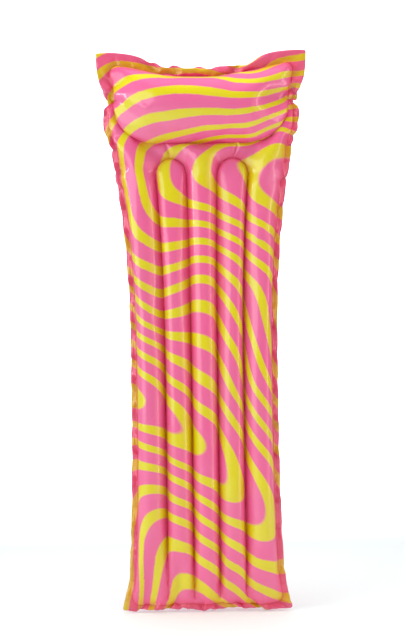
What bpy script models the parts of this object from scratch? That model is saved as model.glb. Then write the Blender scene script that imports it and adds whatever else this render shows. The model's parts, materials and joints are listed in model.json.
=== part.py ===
"""Inflatable pool lounger, upright on its foot edge.

Two sheets of vinyl film are welded to each other along a pattern of lines. The
lines close off a body chamber of long tubes and a pillow chamber above it, and
leave a flat flange all round. Each chamber has its own valve on the back sheet:
a welded base, a stem that pushes in flush, a check flap and a tethered plug.

Units are metres. +Z is up the lounger, -Y is the side a person lies on, and the
two films meet in the plane Y = 0.
"""

import math

import bmesh
import bpy
import numpy as np
from mathutils import Matrix, Vector
from mathutils.geometry import delaunay_2d_cdt

# Film
FILM = 0.0003                 # thickness of one sheet
GAP = 0.0003                  # clearance between pieces that touch

# Flat film across the tubes, from weld to weld
TUBE_COUNT = 5
OUTER_TUBE_FILM = 0.138
INNER_TUBE_FILM = 0.126

# Body chamber, inflated
BODY_LENGTH = 1.4195          # foot weld to the middle of the pillow seam
FLARE_START = 0.80            # height at which the body starts to widen
SHOULDER_WIDTH = 0.555        # body chamber where it is widest, beside the pillow
SHOULDER_TAPER = 0.070        # height over which the body chamber narrows to its two tips
FOOT_PASSAGE = 0.025          # air way under the tube seams
HEADER = 0.0475               # air way between the arches and the pillow seam
FOOT_CORNER = 0.020           # rounding of the foot weld's corners

# Pillow chamber, inflated
PILLOW_WIDTH = 0.566
PILLOW_HEIGHT = 0.2055        # pillow seam to top weld, in the middle
PILLOW_FILM = 0.302           # flat film over the same height
SEAM_STRAIGHT = 0.280         # straight middle of the pillow seam
SEAM_RADIUS = 0.128           # its upturned ends
TOP_WELD_RISE = 0.045         # how much higher the top weld ends are than its middle
PILLOW_CORNER = 0.030         # rounding of the pillow's upper corners

# Flat flange outside the welds
SIDE_FLANGE = 0.0175
FOOT_FLANGE = 0.022
FOOT_FLARE = 0.040            # how far the flange spreads at the foot corners
FOOT_FLARE_HEIGHT = 0.35
TOP_FLANGE = 0.023            # in the middle of the top edge
EAR_WIDTH = 0.652             # across the two ear tips
EAR_RISE = 0.060              # ears above the middle of the top edge
EAR_INNER = 0.120             # from the middle to the foot of the ear's slope
EAR_SLOPE = 0.120             # length of that slope
EAR_CORNER = 0.006            # rounding of the ear tips
EAR_FOOT = (0.010, 0.004)     # run and rise of the ear's first stretch above the notch
EAR_BELLY = (0.008, 0.030)    # where its side swells: in from the tip, above the weld tip
NOTCH_CLEARANCE = 0.0085      # film left between the side notch and the weld tip
NOTCH_DROP = 0.005            # notch below the weld tip
SHOULDER_CORNER = 0.018       # height of the body flange's slanted corner under the notch
SHOULDER_BULGE = 0.003        # swell of the body flange under that corner
CRINKLE_PITCH = 0.040         # gathers in the foot flange
CRINKLE_DEPTH = 0.005

# Valves
FILM_HOLE_RADIUS = 0.0080
PAD_RADIUS = 0.0150           # film held flat by the valve base
BASE_RADIUS = 0.0135
BASE_THICKNESS = 0.0008
COLLAR_WALL = 0.0020
COLLAR_HEIGHT = 0.0035
STEM_RADIUS = 0.0065
STEM_BORE = 0.0045
STEM_TRAVEL = 0.0125
RIM_WIDTH = 0.0011
RIM_HEIGHT = 0.0016
STOP_WIDTH = 0.0009
STOP_HEIGHT = 0.0016
CAP_RADIUS = 0.0075
CAP_THICKNESS = 0.0020
SHANK_LENGTH = 0.0050
SHANK_TAPER = 0.0010          # radius lost from top to tip
HINGE_DISTANCE = 0.0100       # plug hinge from the stem's axis
STRAP_WIDTH = 0.0050
STRAP_THICKNESS = 0.0012
PULL_TAB_LENGTH = 0.0045
FLAP_RADIUS = 0.0056
FLAP_THICKNESS = 0.0006
BODY_VALVE_HEIGHT = 1.16
PILLOW_VALVE_OFFSET = 0.150   # from the middle of the pillow
PILLOW_VALVE_SHARE = 0.52     # of the way up the pillow

# Faces per round and mesh spacing
LATHE_STEPS = 24
TUBE_FACETS = 7
TUBE_END_ROWS = (0.0, 0.4, 1.3, 3.2)  # rows above the foot of a seam, in tube radii
STRAIGHT_ROWS = 5
FLARED_ROWS = 7
ARCH_POINTS = 11
RING_OFFSETS = (0.005, 0.014)         # rows of points beside each weld
RING_SPACING = 0.0095                 # least distance between the points of such rows
WELD_SPACING = 0.021
FILL_SPACING = 0.028
PAD_SIDES = 12
PAD_MARGIN = 0.003

FOOT_WELD = FOOT_FLANGE
SEAM_HEIGHT = FOOT_WELD + BODY_LENGTH
TIP_HEIGHT = SEAM_HEIGHT + SEAM_RADIUS
TIP_X = SEAM_STRAIGHT / 2 + SEAM_RADIUS
SHOULDER_HEIGHT = TIP_HEIGHT - SHOULDER_TAPER
ARCH_TOP = SEAM_HEIGHT - HEADER
TUBE_FILMS = [OUTER_TUBE_FILM] + [INNER_TUBE_FILM] * (TUBE_COUNT - 2) + [OUTER_TUBE_FILM]
BODY_FILM = sum(TUBE_FILMS)
WAIST = BODY_FILM / math.pi
PILLOW_HALF = PILLOW_WIDTH / 2
CAP_TOP = COLLAR_HEIGHT + GAP + RIM_HEIGHT + GAP + CAP_THICKNESS


def ease(t):
    """Smooth step from 0 to 1."""
    t = min(max(t, 0.0), 1.0)
    return t * t * (3 - 2 * t)


def body_half_width(z):
    """Half the body chamber's width at a height, up to the shoulders."""
    t = (z - FLARE_START) / (SHOULDER_HEIGHT - FLARE_START)
    t = min(max(t, 0.0), 1.0)
    return WAIST + (SHOULDER_WIDTH / 2 - WAIST) * t * t


def seam_x(index, z):
    """Place of tube seam number index, where 0 and TUBE_COUNT are the outer welds."""
    share = sum(TUBE_FILMS[:index]) / BODY_FILM
    return body_half_width(z) * (2 * share - 1)


def top_weld(x):
    """Height of the weld along the top of the pillow."""
    return SEAM_HEIGHT + PILLOW_HEIGHT + TOP_WELD_RISE * (abs(x) / PILLOW_HALF) ** 1.6


def top_edge(x):
    """Height of the film's cut edge above the pillow."""
    return SEAM_HEIGHT + PILLOW_HEIGHT + TOP_FLANGE + EAR_RISE * ease((abs(x) - EAR_INNER) / EAR_SLOPE)


def arc(cx, cz, rx, rz, start, end, count):
    """Points along part of an ellipse, angles in degrees."""
    angles = np.radians(np.linspace(start, end, count))
    return [(cx + rx * math.cos(a), cz + rz * math.sin(a)) for a in angles]


def bezier(a, b, c, count):
    """Points along a curve from a to c that leans towards b."""
    a, b, c = (np.array(p) for p in (a, b, c))
    return [tuple((1 - t) ** 2 * a + 2 * t * (1 - t) * b + t * t * c) for t in np.linspace(0, 1, count)]


def steps(start, end):
    """Evenly spaced values about WELD_SPACING apart, without the first."""
    return np.linspace(start, end, round(abs(end - start) / WELD_SPACING) + 1)[1:]


def mirrored(right_half):
    """A closed outline from its right half, which runs from the foot to the top."""
    left_half = [(-x, z) for x, z in reversed(right_half) if abs(x) > 1e-6]
    return right_half + left_half


def row_heights():
    """Heights of the rows of points along the tubes, closer together where they bend."""
    foot = [FOOT_WELD + offset for offset in RING_OFFSETS]
    radius = WAIST / TUBE_COUNT
    *rounded, straight_start = [FOOT_WELD + FOOT_PASSAGE + radius * row for row in TUBE_END_ROWS]
    straight = list(np.linspace(straight_start, FLARE_START, STRAIGHT_ROWS))
    flared = list(np.linspace(FLARE_START, arch_base(), FLARED_ROWS))[1:]
    return foot + rounded + straight + flared


def arch_half_width():
    """Radius of the arched weld that closes every second tube."""
    flare = body_half_width(ARCH_TOP) / WAIST
    return INNER_TUBE_FILM / math.pi * flare


def arch_base():
    """Height at which the seams turn into arches."""
    return ARCH_TOP - arch_half_width()


def seam_height(x):
    """Height of the weld between body and pillow."""
    past_straight = max(abs(x) - SEAM_STRAIGHT / 2, 0)
    return SEAM_HEIGHT + SEAM_RADIUS - math.sqrt(max(SEAM_RADIUS ** 2 - past_straight ** 2, 0))


def column_shares():
    """Places of the columns of points across a tube, from -1 to 1, on a round section."""
    return [-math.cos(math.pi * k / TUBE_FACETS) for k in range(TUBE_FACETS + 1)]


def chamber_outline():
    """Weld around both chambers, right half, from the foot to the top."""
    centre = (WAIST - FOOT_CORNER, FOOT_WELD + FOOT_CORNER)
    clear = FOOT_CORNER / 5
    points = [(x, FOOT_WELD) for x in column_points(FOOT_WELD) if -1e-6 < x < centre[0] - clear]
    points += arc(*centre, FOOT_CORNER, FOOT_CORNER, -90, 0, 4)
    points += [(body_half_width(z), z) for z in row_heights() if z > centre[1] + clear]
    points += [(body_half_width(z), z) for z in steps(arch_base(), SHOULDER_HEIGHT)]
    taper = SHOULDER_WIDTH / 2 - TIP_X
    points += arc(TIP_X, SHOULDER_HEIGHT, taper, SHOULDER_TAPER, 0, 90, 5)[1:]
    corner_z = top_weld(PILLOW_HALF) - 1.2 * PILLOW_CORNER
    side = (PILLOW_HALF - TIP_X) / (corner_z - TIP_HEIGHT)
    points += [(TIP_X + side * (z - TIP_HEIGHT), z) for z in steps(TIP_HEIGHT, corner_z)]
    corner_x = PILLOW_HALF - PILLOW_CORNER
    points += arc(corner_x, corner_z, PILLOW_CORNER, top_weld(corner_x) - corner_z, 0, 90, 4)[1:]
    points += [(x, top_weld(x)) for x in steps(corner_x, 0)]
    return mirrored(points)


def film_outline():
    """Cut edge of the film, right half, from the foot to the top."""
    foot_half = WAIST + SIDE_FLANGE + FOOT_FLARE
    crinkles = round(foot_half / (CRINKLE_PITCH / 2))
    points = [(x, 0.0) for x in np.linspace(0, foot_half, crinkles + 1)]
    heights = [z for z in row_heights() if z > FOOT_WELD + RING_OFFSETS[0]]
    heights += list(steps(arch_base(), SHOULDER_HEIGHT))
    for z in heights:
        spread = max(0.0, 1 - z / FOOT_FLARE_HEIGHT) ** 3
        points.append((body_half_width(z) + SIDE_FLANGE + FOOT_FLARE * spread, z))
    shoulder_x = SHOULDER_WIDTH / 2 + SIDE_FLANGE
    notch = (TIP_X + NOTCH_CLEARANCE, TIP_HEIGHT - NOTCH_DROP)
    points += [(shoulder_x + SHOULDER_BULGE, TIP_HEIGHT - 2 * SHOULDER_CORNER)]
    points += [(shoulder_x, TIP_HEIGHT - SHOULDER_CORNER), notch]
    ear = EAR_WIDTH / 2
    ear_foot = (notch[0] + EAR_FOOT[0], notch[1] + EAR_FOOT[1])
    belly = (ear - EAR_BELLY[0], TIP_HEIGHT + EAR_BELLY[1])
    points += bezier(ear_foot, belly, (ear, top_edge(ear) - EAR_CORNER), 8)
    points += [(x, top_edge(x)) for x in np.append(ear - EAR_CORNER, steps(ear - EAR_CORNER, 0))]
    return mirrored(points)


def pillow_seam():
    """Weld between body and pillow, from tip to tip."""
    centre = (SEAM_STRAIGHT / 2, SEAM_HEIGHT + SEAM_RADIUS)
    right = arc(*centre, SEAM_RADIUS, SEAM_RADIUS, -90, 0, ARCH_POINTS)
    left = [(-x, z) for x, z in reversed(right)]
    middle = [(x, SEAM_HEIGHT) for x in steps(-SEAM_STRAIGHT / 2, SEAM_STRAIGHT / 2)[:-1]]
    return left + middle + right


def tube_seams():
    """Weld lines between the tubes: each arch closes one tube and runs down both its sides."""
    heights = [z for z in row_heights() if z > FOOT_WELD + FOOT_PASSAGE - 1e-6]
    base = arch_base()
    lines = []
    for tube in range(1, TUBE_COUNT, 2):
        left, right = seam_x(tube, base), seam_x(tube + 1, base)
        line = [(seam_x(tube, z), z) for z in heights]
        line += arc((left + right) / 2, base, (right - left) / 2, ARCH_TOP - base, 180, 0, ARCH_POINTS)[1:-1]
        line += [(seam_x(tube + 1, z), z) for z in reversed(heights)]
        lines.append(line)
    return lines


def column_points(z):
    """Where the columns of points cross one row, seams included."""
    places = set()
    for tube in range(TUBE_COUNT):
        left, right = seam_x(tube, z), seam_x(tube + 1, z)
        places.update(round((left + right) / 2 + (right - left) / 2 * s, 7) for s in column_shares())
    return sorted(places)


def distances(points, line):
    """Distance of each point from an open line of points."""
    p = np.asarray(points, float)[:, None, :]
    a = np.asarray(line[:-1], float)[None]
    run = np.asarray(line[1:], float)[None] - a
    t = np.clip(((p - a) * run).sum(2) / (run * run).sum(2), 0, 1)
    return np.linalg.norm(p - a - run * t[..., None], axis=2).min(1)


def inside(points, outline):
    """Which points lie inside a closed outline."""
    p = np.asarray(points, float)
    x, z = p[:, :1], p[:, 1:]
    a = np.asarray(outline, float)
    b = np.roll(a, -1, axis=0)
    crosses = (a[:, 1] > z) != (b[:, 1] > z)
    with np.errstate(divide="ignore", invalid="ignore"):
        reach = (b[:, 0] - a[:, 0]) * (z - a[:, 1]) / (b[:, 1] - a[:, 1]) + a[:, 0]
    return (crosses & (x < reach)).sum(1) % 2 == 1


def beside(line, offset):
    """The points of a line, each set off to its left by offset."""
    line = np.asarray(line, float)
    run = np.gradient(line, axis=0)
    run /= np.linalg.norm(run, axis=1)[:, None]
    return (line + offset * np.column_stack([-run[:, 1], run[:, 0]])).tolist()


class Pattern:
    """The weld pattern as seen from the front, cut into triangles.

    points holds X and Z, welded says which points lie on a weld or on the flange,
    and height is how far the film stands off the weld plane at each point.
    """

    def __init__(self, pads):
        self.pads = pads
        self.outline = chamber_outline()
        self.edge = film_outline()
        self.seam = pillow_seam()
        self.arches = tube_seams()
        self.points, self.lines, self.inner = [], [], []
        self.weld_lines = [self.outline + self.outline[:1], self.seam] + self.arches
        for line in self.weld_lines:
            self.add_line(line)
        self.add_line(self.edge + self.edge[:1])
        self.add_tube_points()
        self.add_pads()
        self.add_fill()
        self.triangulate()
        self.inflate()

    def add_line(self, line):
        """Keep a line of points as edges of the mesh."""
        first = len(self.points)
        self.points += line
        self.lines += [(first + k, first + k + 1) for k in range(len(line) - 1)]

    def clear_of_pads(self, point):
        """True when a point is outside every valve's flat pad."""
        return all(math.dist(point, pad) > PAD_RADIUS + PAD_MARGIN for pad in self.pads)

    def clear_of_welds(self, point, margin):
        """True when a point is inside the chambers and off every weld."""
        if not inside([point], self.outline)[0]:
            return False
        return min(distances([point], line)[0] for line in self.weld_lines) > margin

    def add_tube_points(self):
        """Columns of points up the tubes, joined so that the facets run along them."""
        heights = row_heights()
        weld_margin = RING_OFFSETS[0] / 4
        for place in range(len(column_points(heights[0]))):
            run = []
            for z in heights:
                point = (column_points(z)[place], z)
                if self.clear_of_pads(point) and self.clear_of_welds(point, weld_margin):
                    run.append(point)
                    continue
                self.add_line(run)
                self.inner += run
                run = []
            self.add_line(run)
            self.inner += run

    def add_pads(self):
        """A ring and a centre point where each valve's base lies."""
        for x, z in self.pads:
            self.add_line(arc(x, z, PAD_RADIUS, PAD_RADIUS, 0, 360, PAD_SIDES + 1))
            self.points.append((x, z))

    def add_inner(self, spot, weld_margin, margin):
        """Add a point unless a weld, a pad or another point inside the chambers is too near."""
        if not self.clear_of_pads(spot) or not self.clear_of_welds(spot, weld_margin):
            return
        if any(math.dist(spot, other) < margin for other in self.inner):
            return
        self.inner.append(spot)
        self.points.append(spot)

    def add_fill(self):
        """Rows of points beside the welds above the tubes, then an even grid in what is left."""
        base = arch_base()
        curves = [[p for p in self.outline if p[1] > base], self.seam]
        curves += [[p for p in line if p[1] > base - 1e-6] for line in self.arches]
        for offset in RING_OFFSETS:
            for curve in curves:
                for spot in beside(curve, offset) + beside(curve, -offset):
                    if spot[1] > base + RING_OFFSETS[0]:
                        self.add_inner(spot, 0.8 * offset, RING_SPACING)
        columns = round(PILLOW_HALF / FILL_SPACING)
        rows = np.arange(base + FILL_SPACING / 2, top_weld(PILLOW_HALF), FILL_SPACING * math.sqrt(3) / 2)
        for row, z in enumerate(rows):
            for column in range(-columns, columns + 1):
                spot = ((column + 0.5 * (row % 2)) * FILL_SPACING, z)
                self.add_inner(spot, RING_OFFSETS[-1], 0.6 * FILL_SPACING)

    def triangulate(self):
        """Cut the pattern into triangles and drop those outside the film."""
        result = delaunay_2d_cdt([Vector(p) for p in self.points], self.lines, [], 0, 1e-6)
        points = np.array([tuple(v) for v in result[0]])
        faces = np.array(result[2])
        faces = faces[inside(points[faces].mean(1), self.edge)]
        used = np.unique(faces)
        renumber = np.full(len(points), -1)
        renumber[used] = np.arange(len(used))
        self.points, faces = points[used], renumber[faces]
        a, b, c = (self.points[faces[:, k]] for k in range(3))
        turn = (b[:, 0] - a[:, 0]) * (c[:, 1] - a[:, 1]) - (b[:, 1] - a[:, 1]) * (c[:, 0] - a[:, 0])
        self.faces = np.where(turn[:, None] < 0, faces[:, ::-1], faces)
        on_weld = np.min([distances(self.points, line) for line in self.weld_lines], axis=0) < 1e-5
        self.welded = on_weld | ~inside(self.points, self.outline)

    def inflate(self):
        """Height of the film over each point, as a soap film under even pressure takes it.

        The height's square follows the soap film, which makes a long strip between
        two welds an exact half circle. A strip wider than its film's half circle is
        then flatter by the rule that keeps its film's length.
        """
        count = len(self.points)
        stiffness = np.zeros((count, count))
        area = np.zeros(count)
        for k in range(3):
            i, j, far = self.faces[:, k], self.faces[:, (k + 1) % 3], self.faces[:, (k + 2) % 3]
            u, v = self.points[i] - self.points[far], self.points[j] - self.points[far]
            cross = u[:, 0] * v[:, 1] - u[:, 1] * v[:, 0]
            weight = 0.5 * (u * v).sum(1) / cross
            share = weight * ((self.points[i] - self.points[j]) ** 2).sum(1) / 4
            np.add.at(stiffness, (i, j), -weight)
            np.add.at(stiffness, (j, i), -weight)
            np.add.at(stiffness, (i, i), weight)
            np.add.at(stiffness, (j, j), weight)
            np.add.at(area, i, share)
            np.add.at(area, j, share)
        free = np.flatnonzero(~self.welded)
        swell = np.zeros(count)
        swell[free] = np.linalg.solve(stiffness[np.ix_(free, free)], area[free])
        flatter = np.array([self.flattening(x, z) for x, z in self.points])
        self.height = np.round(np.sqrt(2 * np.maximum(swell, 0)) * flatter, 6)

    def flattening(self, x, z):
        """How much lower than a half circle the film stands, from its own length."""
        in_pillow = z > seam_height(x)
        film, width = (PILLOW_FILM, PILLOW_HEIGHT) if in_pillow else (BODY_FILM, 2 * body_half_width(z))
        return 4 / math.pi * film / width - 1

    def pad_frame(self, pad):
        """Middle and outward direction of a valve's flat pad on the back sheet."""
        near = np.linalg.norm(self.points - pad, axis=1) < PAD_RADIUS + PAD_MARGIN / 2
        offsets = np.column_stack([np.ones(near.sum()), self.points[near] - pad])
        middle, slope_x, slope_z = np.linalg.lstsq(offsets, self.height[near], rcond=None)[0]
        return near, middle, slope_x, slope_z


def material(name, colour, roughness, coat=0.0):
    """A plain vinyl finish."""
    made = bpy.data.materials.new(name)
    made.use_nodes = True
    shader = made.node_tree.nodes["Principled BSDF"]
    shader.inputs["Base Color"].default_value = (*colour, 1.0)
    shader.inputs["Roughness"].default_value = roughness
    shader.inputs["Metallic"].default_value = 0.0
    shader.inputs["Coat Weight"].default_value = coat
    return made


def add_object(name, mesh, finish=None, parent=None, place=None):
    """Link a mesh as an object, on its parent where it has one."""
    made = bpy.data.objects.new(name, mesh)
    bpy.context.scene.collection.objects.link(made)
    if finish is not None:
        mesh.materials.append(finish)
    made.parent = parent
    if place is not None:
        made.location = place
    return made


def as_cutter(tool):
    """Mark an object as a tool that is no part of the product."""
    tool.hide_render = True
    tool.display_type = "WIRE"
    return tool


def boolean(target, tool, operation):
    """Add a live Boolean to target."""
    step = target.modifiers.new(operation.lower(), "BOOLEAN")
    step.operation = operation
    step.solver = "EXACT"
    step.object = tool


def crinkle(x, z):
    """How far the gathered foot flange leans out of the weld plane."""
    wave = abs((x / CRINKLE_PITCH) % 1 - 0.5) * 4 - 1
    return CRINKLE_DEPTH * wave * max(0.0, 1 - z / FOOT_FLANGE)


def make_sheet(name, pattern, side, heights, finish):
    """One welded film as a closed thin shell, side -1 for the front and 1 for the back."""
    stand_off = GAP / 2 + FILM
    vertices = []
    for (x, z), height in zip(pattern.points, heights):
        vertices.append((x, side * (stand_off + height) + crinkle(x, z), z))
    faces = pattern.faces if side < 0 else pattern.faces[:, ::-1]
    mesh = bpy.data.meshes.new(name)
    mesh.from_pydata(vertices, [], faces.tolist())
    mesh.shade_smooth()
    mesh.update()
    sheet = add_object(name, mesh, finish)
    wall = sheet.modifiers.new("film", "SOLIDIFY")
    wall.thickness = FILM
    wall.offset = -1
    return sheet


def lathe(name, profile):
    """A solid turned around Z from a closed profile of radius and height."""
    mesh = bpy.data.meshes.new(name)
    shape = bmesh.new()
    ring = [shape.verts.new((radius, 0, height)) for radius, height in profile]
    edges = [shape.edges.new((a, b)) for a, b in zip(ring, ring[1:] + ring[:1])
             if a.co.x > 1e-9 or b.co.x > 1e-9]
    bmesh.ops.spin(shape, geom=ring + edges, cent=(0, 0, 0), axis=(0, 0, 1),
                   angle=2 * math.pi, steps=LATHE_STEPS, use_merge=True)
    bmesh.ops.remove_doubles(shape, verts=shape.verts, dist=1e-6)
    bmesh.ops.recalc_face_normals(shape, faces=shape.faces)
    shape.to_mesh(mesh)
    shape.free()
    mesh.shade_smooth()
    mesh.set_sharp_from_angle(angle=math.radians(35))
    return mesh


def box_mesh(name, low, high):
    """A plain block between two corners."""
    mesh = bpy.data.meshes.new(name)
    shape = bmesh.new()
    bmesh.ops.create_cube(shape, size=1.0)
    low, high = Vector(low), Vector(high)
    bmesh.ops.scale(shape, vec=high - low, verts=shape.verts)
    bmesh.ops.translate(shape, vec=(low + high) / 2, verts=shape.verts)
    shape.to_mesh(mesh)
    shape.free()
    return mesh


class Valve:
    """One chamber's valve, built around its own axis and set on a pad of the back sheet.

    Local +Z points out of the lounger, and height 0 is the film's outer face. The
    plug's hinge and the flap's hinge lie on the local -Y side.
    """

    def __init__(self, name, pattern, pad, sheet, finish):
        self.name = name
        self.finish = finish
        _, middle, slope_x, slope_z = pattern.pad_frame(pad)
        outward = Vector((-slope_x, 1.0, -slope_z)).normalized()
        up = (Vector((0, 0, 1)) - outward * outward.z).normalized()
        across = up.cross(outward)
        origin = Vector((pad[0], middle + GAP / 2 + FILM, pad[1]))
        self.frame = bpy.data.objects.new(name + "_frame", None)
        bpy.context.scene.collection.objects.link(self.frame)
        turn = Matrix((across, up, outward)).transposed().to_4x4()
        self.frame.matrix_world = Matrix.Translation(origin) @ turn
        self.rim_base = COLLAR_HEIGHT + GAP
        self.rim_top = self.rim_base + RIM_HEIGHT
        self.stem_foot = -STEM_TRAVEL - STOP_HEIGHT
        self.cut_film(sheet)
        self.make_base()
        self.make_stem()
        self.make_plug()
        self.make_flap()

    def piece(self, part, mesh, place=(0, 0, 0)):
        """Add one of the valve's pieces, with its origin at a place on the valve."""
        return add_object(f"{self.name}_{part}", mesh, self.finish, self.frame, place)

    def cut_film(self, sheet):
        """Open the film where the stem passes."""
        reach = 4 * FILM + 0.001
        mesh = lathe(self.name + "_hole", [(0, -reach), (FILM_HOLE_RADIUS, -reach),
                                           (FILM_HOLE_RADIUS, reach), (0, reach)])
        boolean(sheet, as_cutter(self.piece("hole", mesh)), "DIFFERENCE")

    def make_base(self):
        """Flange welded to the film, with the collar that guides the stem."""
        bore = STEM_RADIUS + GAP
        collar = bore + COLLAR_WALL
        top = GAP + BASE_THICKNESS
        chamfer = 0.0003
        profile = [(bore, GAP), (BASE_RADIUS - chamfer, GAP), (BASE_RADIUS, GAP + chamfer),
                   (BASE_RADIUS - chamfer, top), (collar + chamfer, top), (collar, top + chamfer),
                   (collar, COLLAR_HEIGHT - chamfer), (collar - chamfer, COLLAR_HEIGHT),
                   (bore, COLLAR_HEIGHT)]
        self.piece("base", lathe(self.name + "_base", profile))

    def make_stem(self):
        """Tube that pushes in flush: rim above the collar, stop lip inside the film."""
        rim = STEM_RADIUS + RIM_WIDTH
        stop = STEM_RADIUS + STOP_WIDTH
        foot, edge = self.stem_foot, 0.0004
        profile = [(STEM_BORE, foot), (stop - edge, foot), (stop, foot + edge),
                   (stop, foot + STOP_HEIGHT), (STEM_RADIUS, foot + STOP_HEIGHT),
                   (STEM_RADIUS, self.rim_base), (rim, self.rim_base),
                   (rim, self.rim_top - edge), (rim - edge, self.rim_top),
                   (STEM_BORE, self.rim_top)]
        stem = self.piece("stem", lathe(self.name + "_stem", profile))
        half = STRAP_WIDTH / 2
        lug = box_mesh(self.name + "_lug", (-half, -(HINGE_DISTANCE - GAP), self.rim_base),
                       (half, -(STEM_RADIUS - 0.001), self.rim_top))
        boolean(stem, as_cutter(self.piece("lug", lug)), "UNION")

    def make_plug(self):
        """Cap with a tapered shank, a strap to its hinge and a pull tab."""
        hinge = Vector((0, -HINGE_DISTANCE, self.rim_top + GAP / 2))
        under = GAP / 2
        top = under + CAP_THICKNESS
        shank = STEM_BORE - GAP
        edge = 0.0005
        profile = [(0, under - SHANK_LENGTH), (shank - SHANK_TAPER, under - SHANK_LENGTH),
                   (shank, under), (CAP_RADIUS, under), (CAP_RADIUS, top - edge),
                   (CAP_RADIUS - edge, top), (0, top)]
        mesh = lathe(self.name + "_plug", profile)
        mesh.transform(Matrix.Translation((0, HINGE_DISTANCE, 0)))
        plug = self.piece("plug", mesh, hinge)
        half = STRAP_WIDTH / 2
        cap_edge = HINGE_DISTANCE - CAP_RADIUS + 0.001
        strap = box_mesh(self.name + "_strap", (-half, 0, under), (half, cap_edge, under + STRAP_THICKNESS))
        far = HINGE_DISTANCE + CAP_RADIUS
        tab = box_mesh(self.name + "_tab", (-half, far - 0.001, under),
                       (half, far + PULL_TAB_LENGTH, under + STRAP_THICKNESS))
        boolean(plug, as_cutter(self.piece("strap", strap, hinge)), "UNION")
        boolean(plug, as_cutter(self.piece("tab", tab, hinge)), "UNION")

    def make_flap(self):
        """Check flap under the stem, which swings into the chamber as air comes in."""
        hinge = Vector((0, -FLAP_RADIUS, self.stem_foot - GAP))
        profile = [(0, -FLAP_THICKNESS), (FLAP_RADIUS, -FLAP_THICKNESS), (FLAP_RADIUS, 0), (0, 0)]
        mesh = lathe(self.name + "_flap", profile)
        mesh.transform(Matrix.Translation((0, FLAP_RADIUS, 0)))
        self.piece("flap", mesh, hinge)


def main():
    """Build the two sheets and the two valves."""
    for old in list(bpy.data.objects):
        bpy.data.objects.remove(old)
    vinyl = material("printed_vinyl", (0.86, 0.15, 0.40), 0.12, 0.5)
    soft_white = material("valve_vinyl", (0.88, 0.88, 0.85), 0.30)
    last_tube = (seam_x(TUBE_COUNT - 1, BODY_VALVE_HEIGHT) + seam_x(TUBE_COUNT, BODY_VALVE_HEIGHT)) / 2
    pads = {
        "body_valve": (last_tube, BODY_VALVE_HEIGHT),
        "pillow_valve": (-PILLOW_VALVE_OFFSET,
                         seam_height(PILLOW_VALVE_OFFSET) + PILLOW_VALVE_SHARE * PILLOW_HEIGHT),
    }
    pattern = Pattern(list(pads.values()))
    back_heights = pattern.height.copy()
    for pad in pads.values():
        near, middle, slope_x, slope_z = pattern.pad_frame(pad)
        offset = pattern.points[near] - pad
        back_heights[near] = middle + offset @ np.array([slope_x, slope_z])
    make_sheet("front_sheet", pattern, -1, pattern.height, vinyl)
    back = make_sheet("back_sheet", pattern, 1, back_heights, vinyl)
    for name, pad in pads.items():
        Valve(name, pattern, pad, back, soft_white)


main()
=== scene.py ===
"""The inflatable pool lounger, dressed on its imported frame, with its floor, lights and camera.

Two vinyl films are drawn flat with all their weld lines. A short cloth simulation draws the
welds to the places they have on the inflated lounger and fills the chambers with air, so the
puckers along each weld come from the film itself. The wavy print lies on the flat film and
moves with it. The valves on the back are modelled on the frame of their own joints.
"""

from __future__ import annotations

import json
import logging
import math
from dataclasses import dataclass, field
from enum import Enum
from typing import Callable, Sequence

import bpy
import numpy as np
from mathutils import Matrix, Vector
from mathutils.bvhtree import BVHTree
from mathutils.geometry import delaunay_2d_cdt


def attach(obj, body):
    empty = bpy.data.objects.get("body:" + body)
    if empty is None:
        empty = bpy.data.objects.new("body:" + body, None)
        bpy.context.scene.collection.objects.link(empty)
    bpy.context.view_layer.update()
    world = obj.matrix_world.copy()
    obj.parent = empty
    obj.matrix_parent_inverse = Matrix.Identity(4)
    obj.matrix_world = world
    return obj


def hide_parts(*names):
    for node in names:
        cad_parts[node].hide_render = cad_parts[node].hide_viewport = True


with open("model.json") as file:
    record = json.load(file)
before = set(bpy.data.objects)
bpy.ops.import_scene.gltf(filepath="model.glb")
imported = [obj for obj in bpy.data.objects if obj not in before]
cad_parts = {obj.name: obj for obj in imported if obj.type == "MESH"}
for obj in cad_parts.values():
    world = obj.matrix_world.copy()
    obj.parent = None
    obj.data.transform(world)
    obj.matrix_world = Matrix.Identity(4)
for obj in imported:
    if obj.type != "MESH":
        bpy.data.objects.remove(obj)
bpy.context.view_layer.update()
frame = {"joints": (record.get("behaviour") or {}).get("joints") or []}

LOG = logging.getLogger("pool_lounger")

Point = tuple[float, float]
Place = tuple[float, float, float]
Path = Callable[[float], Point]
Colour = tuple[float, float, float, float]


def ease(share: float) -> float:
    """Smooth step from 0 to 1."""
    share = min(max(share, 0.0), 1.0)
    return share * share * (3 - 2 * share)


def between(start: float, end: float, share: float) -> float:
    """Value a share of the way from start to end."""
    return start + (end - start) * share


def activate(piece: bpy.types.Object) -> None:
    """Make a piece the only one selected, and active.

    Args:
        piece: the piece.
    """
    bpy.ops.object.select_all(action="DESELECT")
    piece.select_set(True)
    bpy.context.view_layer.objects.active = piece


# A plug's hinge line, from its valve's middle and from the film's face, in metres.
HINGE_DISTANCE = 0.0100
HINGE_HEIGHT = 0.00555
# Where each valve stands on the flat back film, in metres.
VALVE_SPOTS: dict[str, Point] = {"body_valve": (0.258, 1.1736), "pillow_valve": (-0.171, 1.634)}

PINK: Colour = (0.83, 0.14, 0.335, 1.0)
YELLOW: Colour = (0.73, 0.66, 0.003, 1.0)
MILKY: Colour = (0.70, 0.70, 0.66, 1.0)


# The flat films and their welds


@dataclass(frozen=True)
class Pair:
    """One size on the flat film and on the inflated lounger, in metres."""

    flat: float
    held: float


@dataclass(frozen=True)
class Stretch:
    """A smooth stretch of a line, on the flat film and on the inflated lounger."""

    flat: Path
    held: Path
    length: float


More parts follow.
